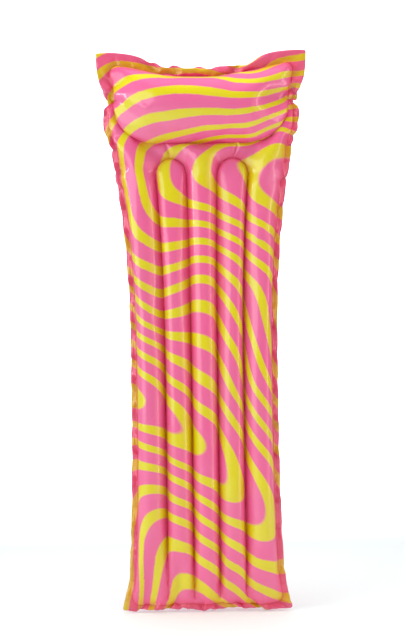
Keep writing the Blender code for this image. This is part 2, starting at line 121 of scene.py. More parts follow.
@dataclass
class Line:
    """Points of a weld line or cut edge, flat and held."""

    flat: list[Point] = field(default_factory=list)
    held: list[Point] = field(default_factory=list)

    @classmethod
    def along(cls, stretches: Sequence[Stretch], spacing: float) -> Line:
        """Points along several stretches that follow each other.

        Args:
            stretches: the stretches, each starting where the one before it ends.
            spacing: distance between points on the flat film.

        Returns:
            The line.
        """
        line = cls()
        for stretch in stretches:
            count = max(2, round(stretch.length / spacing) + 1)
            shares = np.linspace(0, 1, count)[1 if line.flat else 0:]
            line.flat += [stretch.flat(float(share)) for share in shares]
            line.held += [stretch.held(float(share)) for share in shares]
        return line

    def closed_by_mirror(self) -> Line:
        """Close this right half with its mirror image.

        Returns:
            The closed line.
        """
        flat = self.flat + [(-x, y) for x, y in self.flat[-2:0:-1]]
        held = self.held + [(-x, y) for x, y in self.held[-2:0:-1]]
        return Line(flat + flat[:1], held + held[:1])

    def joined_to_mirror(self, middle: Line) -> Line:
        """Mirror image of this right half, the middle and then this half.

        Args:
            middle: the points between the two halves.

        Returns:
            The whole line.
        """
        flat = [(-x, y) for x, y in self.flat[::-1]] + middle.flat + self.flat
        held = [(-x, y) for x, y in self.held[::-1]] + middle.held + self.held
        return Line(flat, held)


def straight(flat_ends: tuple[Point, Point], held_ends: tuple[Point, Point]) -> Stretch:
    """Straight stretch between two ends.

    Args:
        flat_ends: both ends on the flat film.
        held_ends: both ends on the inflated lounger.

    Returns:
        The stretch.
    """
    def on(ends: tuple[Point, Point], share: float) -> Point:
        """Point between two ends."""
        return between(ends[0][0], ends[1][0], share), between(ends[0][1], ends[1][1], share)

    return Stretch(lambda t: on(flat_ends, t), lambda t: on(held_ends, t), math.dist(*flat_ends))


def bow(flat_middle: Point, flat_radii: Point, held_middle: Point, held_radii: Point,
        start: float, end: float) -> Stretch:
    """Elliptic bow between two angles.

    Args:
        flat_middle: middle of the ellipse on the flat film.
        flat_radii: its two radii there.
        held_middle: middle of the ellipse on the inflated lounger.
        held_radii: its two radii there.
        start: angle where the bow starts, in degrees.
        end: angle where it ends, in degrees.

    Returns:
        The stretch.
    """
    first, last = math.radians(start), math.radians(end)

    def on(middle: Point, radii: Point, share: float) -> Point:
        """Point on one of the two ellipses."""
        angle = between(first, last, share)
        return middle[0] + radii[0] * math.cos(angle), middle[1] + radii[1] * math.sin(angle)

    length = abs(last - first) * (abs(flat_radii[0]) + abs(flat_radii[1])) / 2
    return Stretch(lambda t: on(flat_middle, flat_radii, t),
                   lambda t: on(held_middle, held_radii, t), length)


@dataclass(frozen=True)
class MatSizes:
    """Cut and weld sizes of the lounger, in metres.

    Heights are measured from the foot's cut edge and widths from the middle. The three powers
    say how late a curve bends, and foot_corner_held is the share of a foot corner's height that
    is left when the lounger is inflated.
    """

    width: float = 0.69
    length: float = 1.83
    tube_films: tuple[float, ...] = (0.138, 0.126, 0.126, 0.126, 0.138)
    arched_tubes: tuple[int, ...] = (1, 3)
    foot_weld: float = 0.020
    foot_corner: float = 0.042
    foot_corner_held: float = 0.9
    seam_foot: Pair = Pair(0.052, 0.047)
    arch_base: Pair = Pair(1.359, 1.344)
    arch_rise: Pair = Pair(0.063, 0.050)
    pillow_seam: Pair = Pair(1.488, 1.4415)
    pillow_seam_straight: Pair = Pair(0.160, 0.140)
    seam_tip_across: Pair = Pair(0.305, 0.268)
    seam_tip_up: Pair = Pair(1.640, 1.5695)
    shoulder_up: Pair = Pair(1.575, 1.4995)
    shoulder_across: float = 0.2775
    flare_start: float = 0.80
    flare_power: float = 2.3
    pillow_top: Pair = Pair(1.79, 1.647)
    pillow_top_rise: float = 0.045
    pillow_top_power: float = 1.6
    pillow_half: float = 0.283
    pillow_corner: float = 0.030
    pillow_corner_drop: float = 0.036
    head_flange: float = 0.023
    ear_rise: float = 0.060
    ear_start: float = 0.12
    side_flange: float = 0.0175
    shoulder_flange: float = 0.019
    foot_half: float = 0.276
    foot_flare: float = 0.041
    foot_flare_power: float = 1.6
    foot_flare_height: Pair = Pair(0.600, 0.591)
    notch_across: Pair = Pair(0.318, 0.2765)
    notch_up: Pair = Pair(1.636, 1.5645)
    under_notch: Pair = Pair(1.615, 1.545)
    over_notch: Pair = Pair(1.650, 1.570)
    ear_foot: float = 0.290
    ear_belly: Point = (0.318, 1.605)
    ear_tip: Point = (0.328, 1.737)

    @property
    def body_half(self) -> float:
        """Half the flat film across the tubes."""
        return sum(self.tube_films) / 2

    @property
    def waist(self) -> float:
        """Half the inflated width of the tubes where they are straight."""
        return sum(self.tube_films) / math.pi

    def seam_film(self, seam: int) -> float:
        """Place of a seam across the flat film, counted from the left edge weld."""
        return sum(self.tube_films[:seam]) - self.body_half

    def half_width(self, height: float) -> float:
        """Inflated half width at a height, flared towards the shoulders."""
        share = (height - self.flare_start) / (self.shoulder_up.held - self.flare_start)
        return self.waist + (self.shoulder_across - self.waist) * min(max(share, 0), 1) ** self.flare_power

    def top_weld(self, across: float) -> float:
        """Height of the pillow's top weld."""
        rise = self.pillow_top_rise * (abs(across) / self.pillow_half) ** self.pillow_top_power
        return self.pillow_top.held + rise

    def top_edge(self, across: float) -> float:
        """Height of the cut edge above the pillow, which rises to the ears."""
        rise = self.ear_rise * ease((abs(across) - self.ear_start) / self.ear_start)
        return self.pillow_top.held + self.head_flange + rise

    def tube_height(self, flat_height: float) -> float:
        """Inflated height of a place on the tubes.

        Args:
            flat_height: its height on the flat film.

        Returns:
            The height.
        """
        marks = (0, self.foot_weld, self.seam_foot.flat, self.arch_base.flat)
        held = (0, self.foot_weld, self.seam_foot.held, self.arch_base.held)
        return float(np.interp(flat_height, marks, held))


@dataclass
class WeldPlan:
    """All weld lines of the lounger and its cut edge."""

    sizes: MatSizes
    spacing: float

    @staticmethod
    def beside(across: float, start: float, end: float, held: Path) -> Stretch:
        """Upright stretch of the flat film between two heights, with its inflated places."""
        return Stretch(lambda t: (across, between(start, end, t)), held, abs(end - start))

    def upright(self, across: float, start: float, end: float, place: Callable[[float], float]) -> Stretch:
        """Upright stretch on the tubes.

        Args:
            across: place across the flat film.
            start: flat height where it starts.
            end: flat height where it ends.
            place: inflated place across, for an inflated height.

        Returns:
            The stretch.
        """
        def held(share: float) -> Point:
            """Point on the inflated lounger."""
            height = self.sizes.tube_height(between(start, end, share))
            return place(height), height

        return self.beside(across, start, end, held)

    def outline(self) -> Line:
        """Closed weld round both chambers.

        Returns:
            The weld, from the middle of the foot.
        """
        s = self.sizes
        half, corner, foot = s.body_half, s.foot_corner, s.foot_weld
        pull = s.waist / half
        foot_end = (half - corner) * pull
        held_corner = s.foot_corner_held * corner
        arch, shoulder = s.arch_base, s.shoulder_up
        tip, tip_up = s.seam_tip_across, s.seam_tip_up
        corner_top = s.top_weld(s.pillow_half) - s.pillow_corner_drop
        corner_across = s.pillow_half - s.pillow_corner
        flat_corner = tip.flat - s.pillow_corner
        flat_top = s.pillow_top.flat - s.pillow_corner

        def shoulder_held(share: float) -> Point:
            """Side weld from the arches up to the shoulder."""
            height = between(arch.held, shoulder.held, share)
            return s.half_width(height), height

        def pillow_side(share: float) -> Point:
            """Side weld of the pillow."""
            return between(tip.held, s.pillow_half, share), between(tip_up.held, corner_top, share)

        right = [
            straight(((0, foot), (half - corner, foot)), ((0, foot), (foot_end, foot))),
            bow((half - corner, foot + corner), (corner, corner),
                (foot_end, foot + held_corner), (s.waist - foot_end, held_corner), -90, 0),
            self.upright(half, foot + corner, arch.flat, s.half_width),
            self.beside(half, arch.flat, shoulder.flat, shoulder_held),
            bow((tip.flat, shoulder.flat), (half - tip.flat, tip_up.flat - shoulder.flat),
                (tip.held, shoulder.held),
                (s.shoulder_across - tip.held, tip_up.held - shoulder.held), 0, 90),
            self.beside(tip.flat, tip_up.flat, flat_top, pillow_side),
            bow((flat_corner, flat_top), (s.pillow_corner, s.pillow_corner), (corner_across, corner_top),
                (s.pillow_corner, s.top_weld(corner_across) - corner_top), 0, 90),
            Stretch(lambda t: (flat_corner * (1 - t), s.pillow_top.flat),
                    lambda t: (corner_across * (1 - t), s.top_weld(corner_across * (1 - t))), flat_corner),
        ]
        return Line.along(right, self.spacing).closed_by_mirror()

    def pillow_seam(self) -> Line:
        """Weld between the body and the pillow, which curls up at both ends.

        Returns:
            The weld, from left to right.
        """
        s = self.sizes
        seam, reach, tip, tip_up = s.pillow_seam, s.pillow_seam_straight, s.seam_tip_across, s.seam_tip_up
        end = bow((reach.flat, tip_up.flat), (tip.flat - reach.flat, tip_up.flat - seam.flat),
                  (reach.held, tip_up.held), (tip.held - reach.held, tip_up.held - seam.held), -90, 0)
        middle = straight(((-reach.flat, seam.flat), (reach.flat, seam.flat)),
                          ((-reach.held, seam.held), (reach.held, seam.held)))
        line = Line.along([middle], self.spacing)
        inner = Line(line.flat[1:-1], line.held[1:-1])
        return Line.along([end], self.spacing).joined_to_mirror(inner)

    def arch(self, tube: int) -> Line:
        """The two seams of a tube and the arch that joins them at its head.

        Args:
            tube: the tube's number, counted from 0 at the left.

        Returns:
            The weld.
        """
        s = self.sizes
        left, right = s.seam_film(tube), s.seam_film(tube + 1)

        def place(seam_film: float) -> Callable[[float], float]:
            """Inflated place across of a seam, for an inflated height."""
            return lambda height: s.half_width(height) * seam_film / s.body_half

        held_left, held_right = place(left)(s.arch_base.held), place(right)(s.arch_base.held)
        return Line.along([
            self.upright(left, s.seam_foot.flat, s.arch_base.flat, place(left)),
            bow(((left + right) / 2, s.arch_base.flat), (s.arch_rise.flat, s.arch_rise.flat),
                ((held_left + held_right) / 2, s.arch_base.held),
                ((held_right - held_left) / 2, s.arch_rise.held), 180, 0),
            self.upright(right, s.arch_base.flat, s.seam_foot.flat, place(right)),
        ], self.spacing)

    def pinches(self) -> list[Line]:
        """Short creases where the film gathers between each arch and the pillow's seam.

        Returns:
            One line an arch. Only its flat places are used.
        """
        s = self.sizes
        low = s.arch_base.flat + s.arch_rise.flat + self.spacing / 2
        high = s.pillow_seam.flat - self.spacing / 2
        made = []
        for tube in s.arched_tubes:
            across = (s.seam_film(tube) + s.seam_film(tube + 1)) / 2
            line = ((across, low), (across, high))
            made.append(Line.along([straight(line, line)], self.spacing))
        return made

    def cut_edge(self) -> Line:
        """Cut edge of the film: flared at the foot, notched beside the pillow seam, eared at the top.

        Returns:
            The closed edge, from the middle of the foot.
        """
        s = self.sizes
        half, low, arch = s.width / 2, s.foot_flare_height, s.arch_base

        def foot_side(share: float) -> Point:
            """Side edge near the foot."""
            height, flare = low.held * share, s.foot_flare * (1 - share) ** s.foot_flare_power
            return s.half_width(height) + s.side_flange + flare, height

        def side(share: float) -> Point:
            """Side edge along the tubes."""
            height = between(low.held, arch.held, share)
            return s.half_width(height) + s.side_flange, height

        def shoulder(share: float) -> Point:
            """Side edge beside the shoulders."""
            height = between(arch.held, s.under_notch.held, share)
            return s.half_width(height) + s.shoulder_flange, height

        def ear(share: float) -> Point:
            """Ear's outer edge, bowed outwards.

            Args:
                share: how far from its foot to its tip.

            Returns:
                The place there.
            """
            away, foot = 1 - share, (s.ear_foot, s.over_notch.held)
            return tuple(away * away * low_end + 2 * share * away * belly + share * share * tip
                         for low_end, belly, tip in zip(foot, s.ear_belly, s.ear_tip))

        flat_notch, notch = (s.notch_across.flat, s.notch_up.flat), (s.notch_across.held, s.notch_up.held)
        right = [
            straight(((0, 0), (half, 0)), ((0, 0), (s.foot_half, 0))),
            self.beside(half, 0, low.flat, foot_side),
            self.beside(half, low.flat, arch.flat, side),
            self.beside(half, arch.flat, s.under_notch.flat, shoulder),
            straight(((half, s.under_notch.flat), flat_notch), (shoulder(1), notch)),
            straight((flat_notch, (half, s.over_notch.flat)), (notch, (s.ear_foot, s.over_notch.held))),
            self.beside(half, s.over_notch.flat, s.length, ear),
            Stretch(lambda t: (half * (1 - t), s.length),
                    lambda t: (s.ear_tip[0] * (1 - t), s.top_edge(s.ear_tip[0] * (1 - t))), half),
        ]
        return Line.along(right, self.spacing).closed_by_mirror()


@dataclass(frozen=True)
class Pad:
    """Round place on the back film that a valve's base keeps flat."""

    flat: Point
    place: Matrix
    radii: tuple[float, ...] = (0.008, 0.0115, 0.015)
    sides: tuple[int, ...] = (12, 16, 20)
    film_depth: float = 0.0002
    margin: float = 1e-4

    def rings(self) -> list[Line]:
        """Closed rings of points on the flat film.

        Returns:
            The rings. Their held places come later, from the valve.
        """
        made = []
        left, up = self.flat
        for radius, sides in zip(self.radii, self.sides):
            turns = [2 * math.pi * k / sides for k in range(sides + 1)]
            ring = [(left + radius * math.cos(turn), up + radius * math.sin(turn)) for turn in turns]
            ring[-1] = ring[0]
            made.append(Line(ring, ring))
        return made

    def held(self, flat: np.ndarray) -> np.ndarray:
        """Places on the valve's plane for flat places on the pad.

        Args:
            flat: array of places on the flat film.

        Returns:
            Array of places in space.
        """
        across, up, out = (np.array(self.place.col[k][:3]) for k in range(3))
        local = flat - np.array(self.flat)
        # Seen from the back, the film's own left lies to the right.
        return (np.array(self.place.col[3][:3]) - self.film_depth * out
                - local[:, :1] * across + local[:, 1:] * up)


class Mark(Enum):
    """What a line of the plan is on the film."""

    WELD = 1
    CUT = 2
    PAD = 3
    PINCH = 4


class FlatFilm:
    """Triangles of the flat film, and where its welds and edges go when it is inflated.

    FARTHEST is the largest distance to a weld that is told. Points within SEARCH of a weld's
    step are measured from it. The grid keeps CLEARANCE, a share of the spacing, from the lines,
    and BLOCK of its points are measured at a time. Points closer than SAME are one point.
    """

    FARTHEST = 0.05
    SEARCH = 0.06
    CLEARANCE = 0.62
    BLOCK = 2000
    SAME = 1e-6

    def __init__(self, sizes: MatSizes, pads: Sequence[Pad], spacing: float) -> None:
        """Lay out the lines and fill them with an even grid of triangles.

        Args:
            sizes: the lounger's sizes.
            pads: the flat places of the valves.
            spacing: distance between points.
        """
        plan = WeldPlan(sizes, spacing)
        self.sizes = sizes
        self.spacing = spacing
        outline = plan.outline()
        cut = plan.cut_edge()
        welds = [outline, plan.pillow_seam()] + [plan.arch(tube) for tube in sizes.arched_tubes]
        lines = [(Mark.WELD, line) for line in welds] + [(Mark.CUT, cut)]
        lines += [(Mark.PAD, ring) for pad in pads for ring in pad.rings()]
        pinches = plan.pinches()
        lines += [(Mark.PINCH, line) for line in pinches]
        self.outline = np.array(outline.flat)
        self.triangulate(lines, np.array(cut.flat))
        self.weld_lines = [np.array(line.flat) for line in welds]
        self.pinch_lines = [np.array(line.flat) for line in pinches]

    def weld_gap(self, flat: np.ndarray, lines: Sequence[np.ndarray] | None = None) -> np.ndarray:
        """Distance on the flat film to the nearest weld, up to 5 cm.

        Args:
            flat: places on the flat film.
            lines: the welds that count, or all of them.

        Returns:
            One distance a place.
        """
        gap = np.full(len(flat), self.FARTHEST)
        for line in self.weld_lines if lines is None else lines:
            for start, end in zip(line[:-1], line[1:]):
                close = np.where((np.abs(flat - (start + end) / 2) < self.SEARCH).all(1))[0]
                along = end - start
                share = np.clip((flat[close] - start) @ along / (along @ along), 0, 1)
                reach = np.linalg.norm(flat[close] - start - share[:, None] * along, axis=1)
                gap[close] = np.minimum(gap[close], reach)
        return gap

    def pucker_gap(self) -> np.ndarray:
        """Distance of each point to the nearest weld that isn't straight along the tubes.

        Returns:
            One distance a point.
        """
        sizes = self.sizes
        curved = []
        for line in self.weld_lines:
            upright = np.abs(line[:, 0]) < sizes.body_half + self.SAME
            upright &= (line[:, 1] < sizes.arch_base.flat) & (line[:, 1] > sizes.seam_foot.flat)
            curved += [line[first:last] for first, last in self.runs(~upright) if last - first > 1]
        return self.weld_gap(self.flat, curved)

    @staticmethod
    def runs(kept: np.ndarray) -> list[tuple[int, int]]:
        """First and last-plus-one number of each run of true values."""
        steps = np.flatnonzero(np.diff(np.concatenate([[False], kept, [False]]).astype(int)))
        return list(zip(steps[::2].tolist(), steps[1::2].tolist()))

    def triangulate(self, lines: Sequence[tuple[Mark, Line]], cut: np.ndarray) -> None:
        """Fill the cut edge with triangles that keep every line's points.

        Args:
            lines: each line and what it is.
            cut: the cut edge's points.
        """
        points, held, marks, edges = [], [], [], []
        for mark, line in lines:
            first = len(points)
            points += line.flat
            held += line.held
            marks += [mark] * len(line.flat)
            edges += [(first + k, first + k + 1) for k in range(len(line.flat) - 1)]
        grid = self.grid(np.array(points))
        seeds = [Vector(point) for point in points + grid.tolist()]
        places, _, faces, origins, *_ = delaunay_2d_cdt(seeds, edges, [], 0, self.SAME)
        flat, faces = np.array([tuple(place) for place in places]), np.array(faces)
        used, faces = renumbered(faces[inside(flat[faces].mean(1), cut)], len(flat))
        self.flat = flat[used]
        first, second = (self.flat[faces[:, k]] - self.flat[faces[:, 0]] for k in (1, 2))
        self.area = first[:, 0] * second[:, 1] - first[:, 1] * second[:, 0]
        self.faces = np.where(self.area[:, None] < 0, faces[:, ::-1], faces)
        self.area = np.abs(self.area) / 2
        count = len(self.flat)
        self.target = np.full((count, 2), np.nan)
        self.mark = {mark: np.zeros(count, bool) for mark in Mark}
        for index, kept in enumerate(used):
            for source in origins[kept]:
                if source < len(marks):
                    self.mark[marks[source]][index] = True
                    if marks[source] in (Mark.WELD, Mark.CUT):
                        self.target[index] = held[source]
        self.in_chamber = inside(self.flat[self.faces].mean(1), self.outline)

    def grid(self, taken: np.ndarray) -> np.ndarray:
        """Even rows of points that stay clear of the lines' own points.

        Args:
            taken: the lines' points.

        Returns:
            The points of the rows.
        """
        step, half = self.spacing, self.sizes.width / 2
        rows = np.arange(0, self.sizes.length, step * math.sqrt(3) / 2)
        points = np.array([(x, y) for k, y in enumerate(rows)
                           for x in np.arange(-half + (k % 2) * step / 2, half, step)])
        clear = np.ones(len(points), bool)
        for first in range(0, len(points), self.BLOCK):
            block = points[first:first + self.BLOCK]
            gaps = np.linalg.norm(block[:, None] - taken[None], axis=2)
            clear[first:first + self.BLOCK] = gaps.min(1) > self.CLEARANCE * step
        return points[clear]


def inside(places: np.ndarray, loop: np.ndarray) -> np.ndarray:
    """Which places lie inside a closed loop.

    Args:
        places: array of points.
        loop: the loop's points, in order.

    Returns:
        One truth value a point.
    """
    nearest, following = loop, np.roll(loop, -1, 0)
    across, up = places[:, :1], places[:, 1:]
    crosses = (nearest[:, 1] > up) != (following[:, 1] > up)
    with np.errstate(all="ignore"):
        slope = (following[:, 0] - nearest[:, 0]) / (following[:, 1] - nearest[:, 1])
        edge = (up - nearest[:, 1]) * slope + nearest[:, 0]
    return (crosses & (across < edge)).sum(1) % 2 == 1


def renumbered(faces: np.ndarray, count: int) -> tuple[np.ndarray, np.ndarray]:
    """Leave out the points that no triangle uses.

    Args:
        faces: triangles, by the points' numbers.
        count: number of points.

    Returns:
        The used points' old numbers, and the triangles by new numbers.
    """
    used = np.unique(faces)
    numbers = np.full(count, -1)
    numbers[used] = np.arange(len(used))
    return used, numbers[faces]


class Membrane:
    """Smooth fields over the flat film, solved on its triangles.

    LEAST_WEIGHT keeps every edge in the field, and solving ends when what is left is under SOLVED.
    """

    LEAST_WEIGHT = 1e-3
    SOLVED = 1e-18

    def __init__(self, film: FlatFilm) -> None:
        """Weigh each edge by the angles that face it.

        Args:
            film: the flat film.
        """
        flat, faces = film.flat, film.faces
        starts, ends, weights = [], [], []
        self.share = np.zeros(len(flat))
        for corner in range(3):
            a, b, apex = (faces[:, (corner + k) % 3] for k in range(3))
            left, right = flat[a] - flat[apex], flat[b] - flat[apex]
            turn = np.abs(left[:, 0] * right[:, 1] - left[:, 1] * right[:, 0])
            weight = np.maximum(0.5 * (left * right).sum(1) / turn, self.LEAST_WEIGHT)
            starts += [a, b]
            ends += [b, a]
            weights += [weight, weight]
            np.add.at(self.share, a, film.area / 3)
        self.starts, self.ends = np.concatenate(starts), np.concatenate(ends)
        self.weights = np.concatenate(weights)
        self.count = len(flat)
        self.total = np.bincount(self.starts, self.weights, self.count)

    def stiffness(self, values: np.ndarray) -> np.ndarray:
        """Difference between each point's value and its neighbours'."""
        return self.total * values - np.bincount(self.starts, self.weights * values[self.ends], self.count)

    def solve(self, fixed: np.ndarray, values: np.ndarray, load: np.ndarray,
              steps: int = 1500) -> np.ndarray:
        """Smooth field with fixed values, by conjugate gradients.

        Args:
            fixed: points whose value is given.
            values: the given values.
            load: load on each point.
            steps: most steps that are taken.

        Returns:
            The field's value at each point.
        """
        field_values = np.where(fixed, values, 0.0)
        rest = np.where(fixed, 0.0, load - self.stiffness(field_values))
        scaled = rest / self.total
        heading, size = scaled.copy(), float(rest @ scaled)
        for _ in range(steps):
            if size < self.SOLVED:
                break
            push = np.where(fixed, 0.0, self.stiffness(heading))
            step = size / float(heading @ push)
            field_values += step * heading
            rest -= step * push
            scaled = rest / self.total
            new_size = float(rest @ scaled)
            heading = scaled + new_size / size * heading
            size = new_size
        return field_values


# Filling with air


@dataclass(frozen=True)
class AirFill:
    """How the film is inflated by the cloth simulation, with lengths in metres.

    The holds say how firmly welds and edges keep to their places. The gathers are the pleats of
    the hem at the foot and between the ears, and the side waves those of the long edges. After
    the simulation, calming evens out ripples away from the welds, less so at the pillow's ends.
    """

    frames: int = 30
    draw_frames: int = 12
    pressure: float = 20.0
    quality: int = 8
    seam_hold: float = 1.0
    outline_hold: float = 0.9
    edge_hold: float = 0.75
    foot_edge_hold: float = 0.9
    foot_reach: float = 0.30
    start_gap: float = 0.003
    fullness: float = 0.66
    flange_crinkle: float = 0.0012
    gather: float = 0.017
    gather_reach: float = 0.040
    gather_pitch: float = 0.028
    gather_swing: float = 1.0
    gather_drift: float = 0.37
    gather_lift: float = 0.014
    lift_shift: float = 0.8
    corner_calm: float = 0.02
    head_gather: float = 0.0035
    head_gather_pitch: float = 0.034
    side_wave: float = 0.0045
    side_wave_pitch: float = 0.108
    side_wave_swing: float = 1.3
    side_wave_drift: float = 9
    side_wave_depth: float = 1.6
    edge_margin: float = 0.001
    calm_rounds: int = 60
    calm_from: float = 0.004
    calm_reach: float = 0.014
    calm_pushes: tuple[float, float] = (0.5, -0.505)
    lively_reach: float = 0.022
    lively_from: float = 0.21
    lively_width: float = 0.07
    pinch: float = 0.008
    least_gap: float = 0.0008
    seed: int = 3

    def add_cloth(self, piece: bpy.types.Object) -> bpy.types.ClothModifier:
        """Make a piece cloth with a thin film's values.

        Args:
            piece: the films, with their vertex groups.

        Returns:
            The modifier.
        """
        modifier = piece.modifiers.new("air", "CLOTH")
        cloth = modifier.settings
        cloth.quality = self.quality
        cloth.mass = 0.002
        cloth.air_damping = 2.0
        cloth.tension_stiffness = 60
        cloth.compression_stiffness = 20
        cloth.shear_stiffness = 20
        cloth.bending_stiffness = 0.02
        cloth.tension_damping = cloth.compression_damping = cloth.shear_damping = 5
        cloth.bending_damping = 0.5
        cloth.use_pressure = True
        cloth.uniform_pressure_force = self.pressure
        cloth.vertex_group_pressure = "inflated"
        cloth.vertex_group_mass = "held"
        cloth.pin_stiffness = 1.0
        cloth.effector_weights.gravity = 0
        modifier.collision_settings.use_collision = False
        modifier.collision_settings.use_self_collision = False
        modifier.point_cache.frame_start = 1
        modifier.point_cache.frame_end = self.frames
        return modifier


class InflatedMat:
    """Both films after filling: their places in space and on the flat film."""

    def __init__(self, film: FlatFilm, pads: Sequence[Pad], fill: AirFill) -> None:
        """Prepare the two layers and fill them.

        Args:
            film: the flat film with its welds.
            pads: the places that valves hold on the back film.
            fill: how the mat is inflated.
        """
        self.film = film
        self.fill = fill
        count = len(film.flat)
        flange = np.zeros(count, bool)
        flange[film.faces[~film.in_chamber].ravel()] = True
        single = film.mark[Mark.WELD] | flange
        self.doubled = np.where(~single)[0]
        self.back_index = np.arange(count)
        self.back_index[self.doubled] = count + np.arange(len(self.doubled))
        self.flange = flange & ~film.mark[Mark.WELD]
        self.flat = np.concatenate([film.flat, film.flat[self.doubled]])
        start, held = self.layers()
        self.hold_pads(held, pads)
        faces = self.front_faces() + self.back_faces() + film.faces[~film.in_chamber].tolist()
        self.places = self.simulate(start, held, faces, pads)

    def front_faces(self) -> list[list[int]]:
        """Triangles of the front layer inside the outline weld."""
        return self.film.faces[self.film.in_chamber].tolist()

    def back_faces(self) -> list[list[int]]:
        """Triangles of the back layer inside the outline weld, facing backwards."""
        return self.back_index[self.film.faces[self.film.in_chamber]][:, ::-1].tolist()

    def layers(self) -> tuple[np.ndarray, np.ndarray]:
        """Both layers lying flat, and with the welds at their inflated places.

        Returns:
            The flat start and the held shape, in space.
        """
        film, fill, sizes = self.film, self.fill, self.film.sizes
        welds, count = film.mark[Mark.WELD], len(film.flat)
        membrane = Membrane(film)
        fixed = welds | film.mark[Mark.CUT]
        target = np.nan_to_num(film.target)
        across = membrane.solve(fixed, target[:, 0], np.zeros(count))
        up = membrane.solve(fixed, target[:, 1], np.zeros(count))
        chamber = inside(film.flat, film.outline) & ~welds
        load = membrane.solve(~chamber, np.zeros(count), membrane.share)
        bulge = fill.fullness * np.sqrt(2 * np.maximum(load, 0))
        crinkle = np.zeros(count)
        noise = np.random.default_rng(fill.seed)
        crinkle[self.flange] = noise.normal(0, fill.flange_crinkle, int(self.flange.sum()))
        # The hem is gathered at the foot and a little between the ears.
        near_foot = np.clip(1 - up / fill.gather_reach, 0, 1)
        turn = 2 * math.pi * across / fill.gather_pitch
        turn += fill.gather_swing * np.sin(fill.gather_drift * turn + 1.0)
        gathers = fill.gather * np.sin(turn) * near_foot
        gathers *= (up < sizes.foot_weld + fill.edge_margin) | self.flange
        at_head = self.flange & (film.flat[:, 1] > sizes.pillow_top.flat)
        between_ears = np.clip(1.5 - np.abs(across) / sizes.ear_start, 0, 1)
        head_turn = 2 * math.pi * across / fill.head_gather_pitch
        gathers += fill.head_gather * np.sin(head_turn) * at_head * between_ears
        lowest = np.clip(1 - up / sizes.foot_weld, 0, 1)
        lowest = lowest * np.clip((sizes.waist - np.abs(across)) / fill.corner_calm, 0, 1)
        up = up + fill.gather_lift * lowest * (0.5 + 0.5 * np.cos(2 * turn + fill.lift_shift))
        # The long edges wave, the left one out of step with the right one.
        turn = 2 * math.pi * up / fill.side_wave_pitch
        turn = turn + fill.side_wave_swing * np.sin(fill.side_wave_drift * up) + 2 * (across > 0)
        on_side = film.mark[Mark.CUT] & (np.abs(film.flat[:, 0]) > sizes.body_half + fill.edge_margin)
        on_side &= (up > 2 * sizes.foot_weld) & (up < sizes.shoulder_up.held)
        across = across + fill.side_wave * np.sin(turn) * on_side
        crinkle = crinkle + fill.side_wave_depth * fill.side_wave * np.cos(turn) * on_side
        doubled = self.doubled
        start = np.zeros((len(self.flat), 3))
        start[:, [0, 2]] = self.flat
        start[:count, 1] = crinkle - fill.start_gap * chamber
        start[count:, 1] = fill.start_gap
        held = np.zeros_like(start)
        held[:count] = np.stack([across, crinkle + gathers - bulge, up], 1)
        held[count:] = np.stack([across[doubled], (crinkle + gathers + bulge)[doubled], up[doubled]], 1)
        return start, held

    def pad_points(self, pad: Pad) -> np.ndarray:
        """Points of the back layer on one valve's rings.

        Args:
            pad: the valve's place.

        Returns:
            The points' numbers.
        """
        gaps = np.linalg.norm(self.film.flat - np.array(pad.flat), axis=1)
        on_rings = self.film.mark[Mark.PAD] & (gaps < max(pad.radii) + pad.margin)
        return self.back_index[np.where(on_rings)[0]]

    def hold_pads(self, held: np.ndarray, pads: Sequence[Pad]) -> None:
        """Put the points under each valve on the valve's plane.

        Args:
            held: places with the welds drawn in, which are changed.
            pads: the places that valves hold.
        """
        for pad in pads:
            points = self.pad_points(pad)
            held[points] = pad.held(self.flat[points])

    def simulate(self, start: np.ndarray, held: np.ndarray, faces: list[list[int]],
                 pads: Sequence[Pad]) -> np.ndarray:
        """Draw the welds to their places and let the air push out the film.

        Args:
            start: places of the flat layers.
            held: places with the welds drawn in.
            faces: triangles of both layers and the flange.
            pads: the places that valves hold.

        Returns:
            Place of each point when the simulation ends.
        """
        fill, film = self.fill, self.film
        mesh = bpy.data.meshes.new("film_in_air")
        mesh.from_pydata(start.tolist(), [], faces)
        mat = bpy.data.objects.new("film_in_air", mesh)
        bpy.context.scene.collection.objects.link(mat)
        mat.shape_key_add(name="flat")
        drawn = mat.shape_key_add(name="drawn")
        drawn.data.foreach_set("co", held.ravel())
        self.hold(mat, pads)
        modifier = fill.add_cloth(mat)
        for value, when in ((0.0, 1), (1.0, 1 + fill.draw_frames)):
            drawn.value = value
            drawn.keyframe_insert("value", frame=when)
        for curve in mesh.shape_keys.animation_data.action.fcurves:
            for key in curve.keyframe_points:
                key.interpolation = "LINEAR"
        scene = bpy.context.scene
        for step in range(1, fill.frames + 1):
            scene.frame_set(step)
        inflated = mat.evaluated_get(bpy.context.evaluated_depsgraph_get())
        places = np.empty(len(inflated.data.vertices) * 3, np.float32)
        inflated.data.vertices.foreach_get("co", places)
        action = mesh.shape_keys.animation_data.action
        mat.modifiers.remove(modifier)
        bpy.data.objects.remove(mat)
        bpy.data.meshes.remove(mesh)
        bpy.data.actions.remove(action)
        scene.frame_set(1)
        welded = int(film.mark[Mark.WELD].sum())
        LOG.info("film filled with air: %d points, %d welded", len(film.flat), welded)
        return self.parted(self.pinched(self.calmed(places.reshape(-1, 3).astype(float), pads)))

    def calmed(self, places: np.ndarray, pads: Sequence[Pad]) -> np.ndarray:
        """Even out ripples of the film away from the welds that pucker it.

        Neighbours count by the flat film's own weights, so the film isn't stretched along its face.

        Args:
            places: place of each point.
            pads: the places that valves hold.

        Returns:
            The calmed places.
        """
        fill, film, count = self.fill, self.film, len(self.film.flat)
        gap = film.pucker_gap()[np.concatenate([np.arange(count), self.doubled])]
